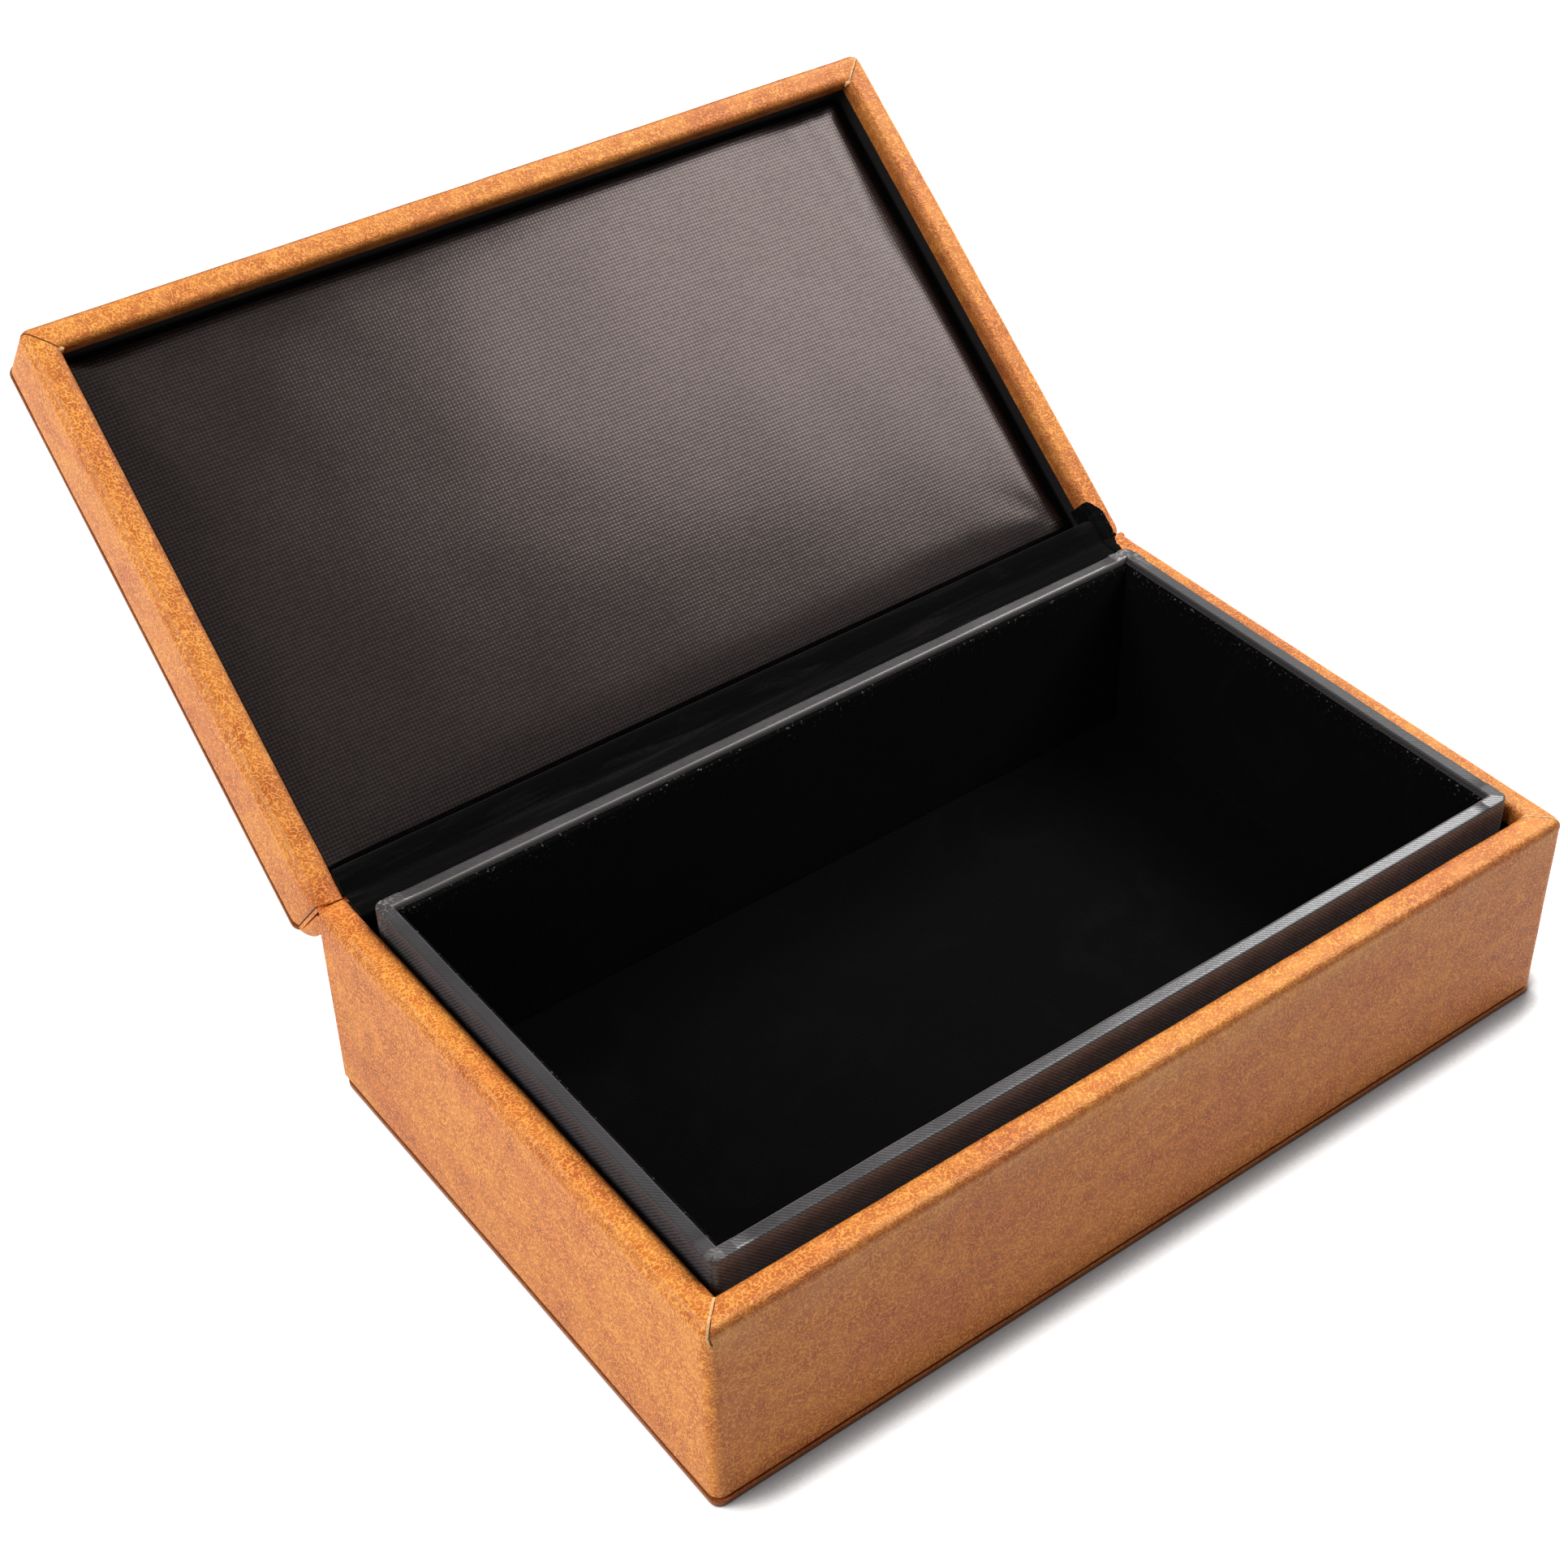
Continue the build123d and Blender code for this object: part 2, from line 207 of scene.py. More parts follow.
class Workpiece:
    """A mesh on the bench: started from a block, edited by place and then finished."""

    def __init__(self, name: str, low: Point, high: Point) -> None:
        """Start from a block between two corners.

        Args:
            name: The piece's name.
            low: Lowest corner, in millimetres.
            high: Highest corner, in millimetres.
        """
        bpy.ops.object.select_all(action="DESELECT")
        low_at, high_at = Vector(low) * MM, Vector(high) * MM
        bpy.ops.mesh.primitive_cube_add(
            size=1, location=(low_at + high_at) / 2, scale=high_at - low_at
        )
        bpy.ops.object.transform_apply(location=True, rotation=True, scale=True)
        self.shape: bpy.types.Object = bpy.context.object
        self.shape.name = self.shape.data.name = name
        bpy.ops.object.mode_set(mode="EDIT")

    def pick(self, kind: Pick, test: Callable[..., bool] | None = None) -> "Workpiece":
        """Select what a test takes, and nothing else.

        Args:
            kind: Points, edges or faces.
            test: Takes a point's place, an edge's two ends and the angle it folds by,
                or a face's middle and normal. None takes all.

        Returns:
            The workpiece, so that an operator can follow.
        """
        bpy.ops.mesh.select_mode(type=kind.value)
        bpy.ops.mesh.select_all(action="SELECT" if test is None else "DESELECT")
        if test is None:
            return self
        mesh = bmesh.from_edit_mesh(self.shape.data)
        if kind is Pick.POINTS:
            for point in mesh.verts:
                point.select_set(test(point.co / MM))
        elif kind is Pick.EDGES:
            for edge in mesh.edges:
                one, other = (end.co / MM for end in edge.verts)
                edge.select_set(test(one, other, edge.calc_face_angle(0)))
        else:
            for face in mesh.faces:
                face.select_set(test(face.calc_center_median() / MM, face.normal))
        mesh.select_flush_mode()
        bmesh.update_edit_mesh(self.shape.data)
        return self

    def cut(self, through: Point, normal: Point) -> "Workpiece":
        """Cut what is selected along a plane."""
        bpy.ops.mesh.bisect(plane_co=Vector(through) * MM, plane_no=normal)
        return self

    def slices(self, axis: int, places: Iterable[float]) -> "Workpiece":
        """Cut the whole piece across one axis at each of several places."""
        normal = tuple(float(i == axis) for i in range(3))
        for place in places:
            self.pick(Pick.FACES).cut(tuple(place * n for n in normal), normal)
        return self

    def grid(self, x: float, y: float, margin: float, cell: float) -> "Workpiece":
        """Cut the whole piece into cells, between margins inside half a length and half a width."""
        for axis, half in ((0, x), (1, y)):
            self.slices(axis, between(-half + margin, half - margin, cell))
        return self

    def bevel(self, width: float, segments: int) -> "Workpiece":
        """Round what is selected."""
        bpy.ops.mesh.bevel(offset=width * MM, segments=segments, affect="EDGES", profile=0.5)
        return self

    def extrude(self, move: Point) -> "Workpiece":
        """Pull what is selected out along a move."""
        bpy.ops.mesh.extrude_region_move(
            TRANSFORM_OT_translate={"value": Vector(move) * MM}
        )
        return self

    def delete(self, kind: Pick) -> "Workpiece":
        """Delete what is selected."""
        bpy.ops.mesh.delete(type=kind.value)
        return self

    def move(self, shift: Callable[[Vector], Vector]) -> "Workpiece":
        """Move every point by what a function of its place says, in millimetres."""
        mesh = bmesh.from_edit_mesh(self.shape.data)
        for point in mesh.verts:
            point.co += shift(point.co / MM) * MM
        bmesh.update_edit_mesh(self.shape.data)
        return self

    def follow(self, line: Section) -> "Workpiece":
        """Bend the piece along a section: y is distance along it and z the height off it."""

        def shift(at: Vector) -> Vector:
            foot, off = line.at(at.y)
            place = foot + off * at.z
            return Vector((0, place.x - at.y, place.y - at.z))

        return self.move(shift)

    def face_out(self) -> "Workpiece":
        """Turn all faces outwards."""
        self.pick(Pick.FACES)
        bpy.ops.mesh.normals_make_consistent(inside=False)
        return self

    def modify(self, kind: str, **settings: object) -> "Workpiece":
        """Add a modifier and apply it at once."""
        bpy.ops.object.mode_set(mode="OBJECT")
        modifier = self.shape.modifiers.new(kind.title(), kind)
        for name, value in settings.items():
            setattr(modifier, name, value)
        bpy.ops.object.modifier_apply(modifier=modifier.name)
        bpy.ops.object.mode_set(mode="EDIT")
        return self

    def dent(self, depth: float, size: float) -> "Workpiece":
        """Make the surface gently uneven.

        Args:
            depth: How far it rises and falls, in millimetres.
            size: Width of a rise, in millimetres.
        """
        clouds = bpy.data.textures.new("unevenness", "CLOUDS")
        clouds.noise_scale = size * MM
        clouds.noise_depth = 1
        strength = 2 * depth * MM
        return self.modify(
            "DISPLACE", texture=clouds, texture_coords="LOCAL", strength=strength, mid_level=0.5
        )

    def thicken(self, thickness: float) -> "Workpiece":
        """Give a sheet its thickness, on the side away from its faces."""
        return self.modify("SOLIDIFY", thickness=thickness * MM, offset=-1, use_even_offset=True)

    def measure(self, name: str, value: Callable[[Vector], float]) -> "Workpiece":
        """Store a number of each point's place, for the finish to read."""
        bpy.ops.object.mode_set(mode="OBJECT")
        layer = self.shape.data.attributes.new(name, "FLOAT", "POINT")
        for index, point in enumerate(self.shape.data.vertices):
            layer.data[index].value = value(point.co / MM)
        bpy.ops.object.mode_set(mode="EDIT")
        return self

    def settle(self) -> None:
        """Put points, edges and faces in the order of their places, the same on every run."""
        mesh = bmesh.from_edit_mesh(self.shape.data)

        def place(point: bmesh.types.BMVert) -> Point:
            return tuple(point.co)

        def ends(one: bmesh.types.BMEdge | bmesh.types.BMFace) -> list[int]:
            return sorted(point.index for point in one.verts)

        for elements, key in ((mesh.verts, place), (mesh.edges, ends), (mesh.faces, ends)):
            rank = {one: i for i, one in enumerate(sorted(elements, key=key))}
            elements.sort(key=rank.__getitem__)
            elements.index_update()
        bmesh.update_edit_mesh(self.shape.data)

    def finish(self, smooth_under: float = 40.0, place: Matrix | None = None) -> bpy.types.Object:
        """Take the piece off the bench.

        Args:
            smooth_under: Edges that fold by fewer degrees than this are shaded smooth.
            place: The move to the piece's place, if it was made elsewhere.

        Returns:
            The finished object, at the origin with its place in its mesh.
        """
        self.settle()
        bpy.ops.object.mode_set(mode="OBJECT")
        bpy.ops.object.shade_smooth_by_angle(angle=math.radians(smooth_under))
        if place is not None:
            self.shape.data.transform(place)
            if place.determinant() < 0:
                self.shape.data.flip_normals()
        self.shape.select_set(False)
        return self.shape


def between(start: float, stop: float, step: float) -> list[float]:
    """Evenly spaced places strictly between two, about a step apart."""
    count = max(2, round((stop - start) / step))
    return [start + (stop - start) * i / count for i in range(1, count)]


def fade(distance: float, reach: float) -> float:
    """1 at no distance, falling evenly to 0 at the reach."""
    return max(0.0, 1 - abs(distance) / reach)


def bump(distance: float, width: float) -> float:
    """A smooth hump, 1 in the middle and nearly 0 one width away."""
    return math.exp(-((2 * distance / width) ** 2))


class Slot(Enum):
    """The record's names for what pieces are made of."""

    LEATHER = "tan_leather"
    CLOTH = "conductive_cloth"
    VELVET = "velvet"
    SATIN = "pad_satin"


def fit(
    piece: bpy.types.Object,
    body: str | None,
    slot: Slot,
    finish: bpy.types.Material,
    *nodes: str,
) -> bpy.types.Object:
    """Dress a piece, set it on its body and let it stand for its nodes.

    Args:
        piece: The finished piece.
        body: The body it rides on, or None where it bends between two.
        slot: What it is made of; not used.
        finish: Its material.
        nodes: The nodes it stands for.

    Returns:
        The piece.
    """
    piece.data.materials.clear()
    piece.data.materials.append(finish)
    if body:
        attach(piece, body)
    if nodes:
        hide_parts(*nodes)
    log.info("%s: %d faces", piece.name, len(piece.data.polygons))
    return piece


# ============================ finishes ============================
def linear(colour: str) -> tuple[float, float, float, float]:
    """An sRGB hex colour as linear red, green, blue and alpha."""
    parts = (int(colour[i : i + 2], 16) / 255 for i in (1, 3, 5))
    return (*(c / 12.92 if c <= 0.04045 else ((c + 0.055) / 1.055) ** 2.4 for c in parts), 1.0)


def per_metre(size: float) -> float:
    """The noise scale that makes a pattern's features this many millimetres wide."""
    return 1 / (size * MM)


def wave_scale(pitch: float) -> float:
    """The wave scale that sets threads this many millimetres apart."""
    return math.tau / (20 * pitch * MM)


class Shader:
    """A material's node tree, built node by node."""

    def __init__(self, name: str, roughness: float, specular: float, sheen: float = 0.0) -> None:
        """Start a material.

        Args:
            name: What it is and how it was made.
            roughness: How blurred its reflections are.
            specular: How strong they are.
            sheen: How strongly its fibres catch light at a glance.
        """
        self.material = bpy.data.materials.new(name)
        self.material.use_nodes = True
        self.tree = self.material.node_tree
        self.surface = self.tree.nodes["Principled BSDF"]
        self.surface.inputs["Roughness"].default_value = roughness
        self.surface.inputs["Specular IOR Level"].default_value = specular
        self.surface.inputs["Sheen Weight"].default_value = sheen

    def add(self, kind: str, inputs: dict | None = None, **settings: object) -> bpy.types.Node:
        """Add a node.

        Args:
            kind: The node's type, without its ShaderNode prefix.
            inputs: What goes into its sockets, by name or number: an output or a value.
            settings: The node's own settings.

        Returns:
            The node.
        """
        node = self.tree.nodes.new("ShaderNode" + kind)
        for name, value in settings.items():
            setattr(node, name, value)
        for key, value in (inputs or {}).items():
            self.feed(node.inputs[key], value)
        return node

    def feed(self, socket: bpy.types.NodeSocket, value: object) -> None:
        """Link an output to a socket, or set the socket's value."""
        if isinstance(value, bpy.types.NodeSocket):
            self.tree.links.new(value, socket)
        else:
            socket.default_value = value

    def at(self, tilt: float = 0.0) -> bpy.types.NodeSocket:
        """The place on the piece, turned by some degrees about x so that a pattern lies flat."""
        place = self.add("TexCoord").outputs["Object"]
        if not tilt:
            return place
        return self.add("Mapping", {0: place, 2: (math.radians(tilt), 0, 0)}).outputs[0]

    def noise(
        self, at: object, size: float, detail: float = 0.0, twist: float = 0.0
    ) -> bpy.types.NodeSocket:
        """Cloudy noise with features some millimetres wide."""
        inputs = {"Vector": at, "Scale": per_metre(size), "Detail": detail, "Distortion": twist}
        return self.add("TexNoise", inputs).outputs[0]

    def drawn_out(self, at: object, pace: Point) -> bpy.types.NodeSocket:
        """Places whose pattern is drawn out along the axes with a slow pace."""
        return self.add("VectorMath", {0: at, 1: pace}, operation="MULTIPLY").outputs[0]

    def math(self, operation: str, one: object, *terms: object) -> bpy.types.NodeSocket:
        """The outcome of a sum of two terms or more, held between 0 and 1."""
        for term in terms:
            node = self.add("Math", {0: one, 1: term}, operation=operation, use_clamp=True)
            one = node.outputs[0]
        return one

    def mix(self, share: object, one: object, other: object) -> bpy.types.NodeSocket:
        """Two colours mixed by a share."""
        return self.add("Mix", {0: share, 6: one, 7: other}, data_type="RGBA").outputs[2]

    def ramp(self, value: object, *stops: tuple[float, float]) -> bpy.types.NodeSocket:
        """A number remapped by stops of place and value."""
        node = self.add("ValToRGB", {0: value})
        steps = node.color_ramp.elements
        while len(steps) < len(stops):
            steps.new(0.5)
        for step, (place, level) in zip(steps, stops):
            step.position = place
            step.color = (level, level, level, 1)
        return node.outputs[0]

    def measured(self, name: str) -> bpy.types.NodeSocket:
        """A number stored on the piece's points."""
        return self.add("Attribute", attribute_name=name).outputs["Fac"]

    def done(self, colour: object, height: object, relief: float) -> bpy.types.Material:
        """Set colour and relief, and give the material back.

        Args:
            colour: The surface's colour.
            height: The pattern that stands out.
            relief: How far it stands out, in millimetres.
        """
        self.feed(self.surface.inputs["Base Color"], colour)
        rise = self.add("Bump", {"Height": height, "Distance": relief * MM, "Strength": 1.0})
        self.feed(self.surface.inputs["Normal"], rise.outputs[0])
        return self.material


@dataclass(frozen=True)
class Leather:
    """Imitation leather, pressed with a fine worm-like grain and rubbed with a two-tone stain.

    To the eye it is golden tan with reddish clouds, stained darker along the rims' inner edges,
    and paler where a fold has been rubbed. Painted shade reddens the front and darkens its outer
    rounding, the rims' inner sides and the panels' edges; a painted highlight lies under the front
    rim.
    """

    name: str = "pressed_two_tone_imitation_leather"
    golden: tuple[str, str] = ("#FFAE4C", "#C0601C")
    reddish: tuple[str, str] = ("#F89744", "#A44E18")
    stain_and_shade: str = "#7F3F1B"
    rubbed_highlight_and_top_tone: str = "#F6BC82"
    grain: float = 0.75  # the worms are about a third of this wide
    blotch: float = 4.0
    cloud: float = 24.0
    edged: bool = True

    def make(self) -> bpy.types.Material:
        """Build the material."""
        s = Shader(self.name, roughness=0.48, specular=0.3)
        at = s.at()
        # the middle level of one octave of noise is a winding line: a worm of the pressed grain
        level = s.noise(at, self.grain, 0.0, 0.2)
        ground = s.ramp(level, (0.38, 1.0), (0.49, 0.0), (0.51, 0.0), (0.62, 1.0))
        patches = s.ramp(s.noise(at, self.blotch, 3.0), (0.3, 0.6), (0.7, 1.0))
        flat = s.drawn_out(at, (0.7, 0.7, 1.5))
        clouds = s.ramp(s.noise(flat, self.cloud, 4.0, 0.8), (0.42, 0.0), (0.66, 1.0))
        strokes = s.math("MULTIPLY", ground, patches)
        gold = s.mix(strokes, *map(linear, self.golden))
        red = s.mix(strokes, *map(linear, self.reddish))
        tone = s.mix(clouds, gold, red)
        if self.edged:
            # the strip's front, which stands in shade, is painted redder than its sides below the
            # rim: painted shade
            share = s.math("MULTIPLY", s.measured("front"), s.measured("below_rim"), 0.35)
            tone = s.mix(share, tone, red)
            tone = self.edges(s, tone, patches)
        else:
            # the panel's edges are darkened with the stain colour: painted shade, as in the groove
            # by the floor
            share = s.math("MULTIPLY", s.measured("panel_edge_shade"), 0.75)
            tone = s.mix(share, tone, linear(self.stain_and_shade))
        return s.done(tone, s.math("SUBTRACT", 1.0, strokes), 0.065)

    def edges(self, s: Shader, tone: object, patches: object) -> bpy.types.NodeSocket:
        """Stain, rubbing, painted shade and highlight by a rim's edges, by distance past its outer
        edge.
        """
        past = s.add("MapRange", {0: s.measured("past_edge"), 1: -20.0, 2: 20.0}).outputs[0]
        front = s.measured("front")
        broad = s.ramp(s.noise(s.at(), 11.0, 2.0), (0.35, 0.1), (0.6, 1.0))

        def band(*stops: tuple[float, float]) -> bpy.types.NodeSocket:
            return s.ramp(past, *(((far + 20) / 40, level) for far, level in stops))

        def over(share: object, colour: str) -> bpy.types.NodeSocket:
            return s.mix(share, tone, linear(colour))

        # under the front rim the leather is painted paler, in the pale rubbed colour: a painted
        # highlight
        glow = band((-13, 0.0), (-4, 0.2), (-2, 0.18), (-1, 0.0))
        tone = over(s.math("MULTIPLY", glow, front, broad), self.rubbed_highlight_and_top_tone)
        # stretched lines that run along the rim, from noise that only changes across it
        across = s.add("CombineXYZ", {0: past}).outputs[0]
        lines = s.add("TexNoise", {"Vector": across, "Scale": 26.0}).outputs[0]
        lines = s.ramp(lines, (0.5, 0.0), (0.62, 0.35))
        on_rim = band((-6, 0.0), (-1, 1.0), (4, 1.0), (6, 0.0))
        tone = over(s.math("MULTIPLY", lines, on_rim, broad), self.rubbed_highlight_and_top_tone)
        # the stain colour on the front's outer rounding only, where the rim turns down into the
        # shaded front: painted shade
        fold = band((-2.4, 0.0), (-1.2, 0.7), (-0.3, 0.7), (1.0, 0.0))
        tone = over(s.math("MULTIPLY", fold, front, patches), self.stain_and_shade)
        # stain along the rim's inner edge, and darker on down its inner side into the gap by the
        # collar: stain, then painted shade
        inner = band((4.6, 0.0), (6.2, 0.45), (7.2, 0.4), (9, 0.8))
        return over(s.math("MULTIPLY", inner, patches), self.stain_and_shade)


@dataclass(frozen=True)
class CutEdge:
    """The raw edge of cut imitation leather: a pale backing that shows as a light line."""

    name: str = "cut_backing_of_imitation_leather"
    colours: tuple[str, str] = ("#F3CB98", "#D2955A")

    def make(self) -> bpy.types.Material:
        """Build the material."""
        s = Shader(self.name, roughness=0.8, specular=0.2)
        fibres = s.ramp(s.noise(s.at(), 0.5, 2.0), (0.35, 0.0), (0.7, 1.0))
        return s.done(s.mix(fibres, *map(linear, self.colours)), fibres, 0.04)


@dataclass(frozen=True)
class Weave:
    """Plain or twill cloth: threads that cross, each a little ridge with a lit back.

    To the eye its threads shine and the gaps between them stay dull, and where it is worn its
    top edges are rubbed pale.
    """

    name: str
    thread: str
    gap: str
    pitch: float
    roughness: float
    specular: float
    relief: float = 0.05
    matt: float = 0.1
    dull: float = 0.4
    across: float = 1.0
    tilt: float = 0.0
    tint: str = "#FFFFFF"
    diagonal: bool = False
    worn: str | None = None
    top: tuple[str, str] = ("#000000", "#000000")
    pit: str = "#0A0A0A"

    def make(self) -> bpy.types.Material:
        """Build the material."""
        s = Shader(self.name, self.roughness, self.specular)
        at = s.at(self.tilt)
        scale = wave_scale(self.pitch)
        ways = {"DIAGONAL": scale * math.sqrt(2)} if self.diagonal else {"Y": scale, "X": scale}
        threads = None
        for way, pace in ways.items():
            ridges = s.add("TexWave", {"Vector": at, "Scale": pace}, bands_direction=way).outputs[1]
            low = 1 - 0.85 * (self.across if way == "X" else 1)
            ridges = s.ramp(ridges, (0.1, low), (0.9, 1.0))
            threads = s.math("MULTIPLY", threads, ridges) if threads else ridges
        # threads lie a little higher or lower along their way, which gives the cloth its glitter
        along = s.drawn_out(at, (0.6, 1, 1))
        uneven = s.ramp(s.noise(along, self.pitch, 1.0), (0.38, 0.6), (0.56, 1.0))
        threads = s.math("MULTIPLY", threads, uneven)
        lit = s.add("MapRange", {0: threads, 2: 0.6}).outputs[0]
        tint = linear(self.tint)
        dulled = (*(c * self.dull for c in tint[:3]), 1)
        s.feed(s.surface.inputs["Specular Tint"], s.mix(lit, dulled, tint))
        matt = self.roughness + self.matt
        gloss = s.add("MapRange", {0: lit, 3: matt, 4: self.roughness}).outputs[0]
        if self.worn:
            # on the short sides the twill runs across the light and spreads it wider
            short = s.math("SUBTRACT", 1.0, s.measured("front"))
            gloss = s.math("ADD", gloss, s.math("MULTIPLY", short, 0.22))
        s.feed(s.surface.inputs["Roughness"], gloss)
        slubs = s.ramp(s.noise(at, 6.0, 3.0), (0.3, 0.6), (0.7, 1.0))
        thread, gap = linear(self.thread), linear(self.gap)
        if self.worn:
            # dark on top; off the top the front sides take the light thread colour, a painted
            # reflection, and the short sides the dark top tone
            top = s.measured("top")
            rubbed_highlight_and_top_tone = s.mix(s.measured("front"), *map(linear, self.top))
            thread = s.mix(s.measured("front"), linear(self.top[0]), thread)
            thread = s.mix(top, thread, rubbed_highlight_and_top_tone)
            gap = s.mix(top, gap, linear(self.pit))
        tone = s.mix(s.math("MULTIPLY", threads, slubs), gap, thread)
        if self.worn:
            flecks = s.ramp(s.noise(at, 0.7, 2.0), (0.5, 0.0), (0.62, 1.0))
            specks = s.math("MULTIPLY", s.measured("wear"), flecks)
            rub = s.math("ADD", s.measured("crease"), specks)
            tone = s.mix(rub, tone, linear(self.worn))
        return s.done(tone, threads, self.relief)


@dataclass(frozen=True)
class Velvet:
    """Cut-pile velvet: it swallows light but for brushed patches and a little fuzz at its edges."""

    name: str = "brushed_black_cut_pile_velvet"
    pile: tuple[str, str] = ("#030303", "#100E0F")
    fuzz: str = "#6E6A68"
    stretch: float = 1.0
    patch: float = 22.0

    def make(self) -> bpy.types.Material:
        """Build the material."""
        s = Shader(self.name, roughness=0.95, specular=0.05, sheen=0.03)
        s.surface.inputs["Sheen Roughness"].default_value = 0.4
        at = s.at()
        drawn = s.drawn_out(at, (self.stretch, 1, 1))
        brushed = s.ramp(s.noise(drawn, self.patch, 4.0, 1.2), (0.52, 0.0), (0.75, 0.6))
        # the pile is far finer than this; drawn at 0.7 mm so that it shows at all
        tufts = s.noise(at, 0.7, 1.0)
        tone = s.mix(s.math("MULTIPLY", brushed, tufts), *map(linear, self.pile))
        flecks = s.ramp(s.noise(at, 0.8, 1.0), (0.65, 0.0), (0.73, 0.7))
        tone = s.mix(s.math("MULTIPLY", s.measured("fuzz"), flecks), tone, linear(self.fuzz))
        return s.done(tone, tufts, 0.15)


@dataclass(frozen=True)
class Sheetstock:
    """Dyed board, card and paper: matt, with fibres and a few pale specks."""

    name: str
    colours: tuple[str, str]
    fibre: float = 0.9
    roughness: float = 0.85

    def make(self) -> bpy.types.Material:
        """Build the material."""
        s = Shader(self.name, self.roughness, specular=0.2)
        at = s.at()
        fibres = s.ramp(s.noise(at, self.fibre, 3.0, 1.5), (0.3, 0.0), (0.75, 1.0))
        specks = s.ramp(s.noise(at, 0.5, 0.0), (0.72, 0.0), (0.76, 0.5))
        tone = s.mix(s.math("ADD", fibres, specks), *map(linear, self.colours))
        return s.done(tone, fibres, 0.03)


# ============================ studio ============================
@dataclass(frozen=True)
class Lamp:
    """A square softbox that faces the box: place in metres, width in metres and watts."""

    name: str
    at: Point
    size: float
    watts: float

    def hang(self) -> None:
        """Hang it up."""
        data = bpy.data.lights.new(self.name, "AREA")
        data.shape, data.size, data.energy = "SQUARE", self.size, self.watts
        lamp = bpy.data.objects.new(self.name, data)
        bpy.context.collection.objects.link(lamp)
        lamp.location = self.at
        towards = Vector((0, 0.02, 0.04)) - lamp.location
        lamp.rotation_euler = towards.to_track_quat("-Z", "Y").to_euler()


@dataclass(frozen=True)
class Studio:
    """Camera, lamps and floor."""

    camera_at: Point = (-266.41, -314.15, 408.99)
    aim: Point = (18.5, 65.2, 41.7)
    roll: float = -0.8
    lens: float = 61.02
    shift: tuple[float, float] = (-0.030, -0.0502)
    around: float = 0.31
    floor_reach: float = 8.0
    floor_tones: tuple[Point, Point] = ((0.10, 0.09, 0.09), (0.58, 0.58, 0.58))
    floor_glow: float = 0.8
    shadow_reach: float = 12.0
    lit_from: Point = (-0.45, 0.45, 0.77)
    lamps: tuple[Lamp, ...] = (
        Lamp("back_softbox", (0.84, 0.46, 0.95), 0.34, 7.0),
        Lamp("left_softbox", (-0.90, 0.10, 0.62), 0.6, 8.8),
        Lamp("right_softbox", (0.80, -0.16, 1.05), 0.6, 12.5),
    )

    def camera(self) -> None:
        """Set the camera up."""
        data = bpy.data.cameras.new("camera")
        data.lens, data.sensor_width = self.lens, 36.0
        data.shift_x, data.shift_y = self.shift
        data.clip_start, data.clip_end = 0.01, 100
        camera = bpy.data.objects.new("camera", data)
        bpy.context.collection.objects.link(camera)
        camera.location = Vector(self.camera_at) * MM
        look = Vector(self.aim) - Vector(self.camera_at)
        turn = look.to_track_quat("-Z", "Y").to_matrix().to_4x4()
        camera.rotation_euler = (turn @ Matrix.Rotation(math.radians(self.roll), 4, "Z")).to_euler()
        bpy.context.scene.camera = camera

    def surroundings(self) -> None:
        """Even light from all round."""
        world = bpy.data.worlds.new("studio")
        bpy.context.scene.world = world
        world.use_nodes = True
        background = world.node_tree.nodes["Background"]
        background.inputs[0].default_value = (1, 1, 1, 1)
        background.inputs[1].default_value = self.around

    def sweep(self) -> None:
        """A round white floor with a low wall far off, plain white but for the box's shadow."""
        bpy.ops.object.select_all(action="DESELECT")
        bpy.ops.mesh.primitive_circle_add(vertices=64, radius=self.floor_reach, fill_type="NGON")
        floor = bpy.context.object
        floor.name = "floor"
        bpy.ops.object.mode_set(mode="EDIT")
        bpy.ops.mesh.select_mode(type="EDGE")
        bpy.ops.mesh.select_all(action="DESELECT")
        bpy.ops.mesh.select_non_manifold()
        wall = (0, 0, self.floor_reach / 4)
        bpy.ops.mesh.extrude_region_move(TRANSFORM_OT_translate={"value": wall})
        bpy.ops.object.mode_set(mode="OBJECT")
        s = Shader("matt_white_paint", roughness=0.9, specular=0.0)
        # the light comes from behind and from the left, so the shadow lies close in front
        way = s.add("CombineXYZ", dict(enumerate(self.lit_from))).outputs[0]
        around = {"Distance": self.shadow_reach * MM, "Normal": way}
        reached = s.add("AmbientOcclusion", around, samples=16).outputs["AO"]
        shadow = s.ramp(reached, (0.3, 0.0), (0.52, 0.2), (0.7, 0.88), (0.78, 1.0))
        dark, pale = ((*tone, 1) for tone in self.floor_tones)
        s.feed(s.surface.inputs["Base Color"], s.mix(shadow, dark, pale))
        s.surface.inputs["Emission Color"].default_value = (1, 1, 1, 1)
        ray = s.add("LightPath")
        kinds = ("Is Camera Ray", "Is Glossy Ray", "Is Transmission Ray")
        seen = s.math("ADD", *(ray.outputs[kind] for kind in kinds))
        glow = s.math("MULTIPLY", seen, self.floor_glow, shadow)
        s.feed(s.surface.inputs["Emission Strength"], glow)
        s.material.cycles.emission_sampling = "NONE"
        floor.data.materials.append(s.material)
        floor.select_set(False)

    def build(self) -> None:
        """Build the whole studio."""
        bpy.context.scene.view_settings.view_transform = "Standard"
        self.camera()
        self.surroundings()
        self.sweep()
        for lamp in self.lamps:
            lamp.hang()


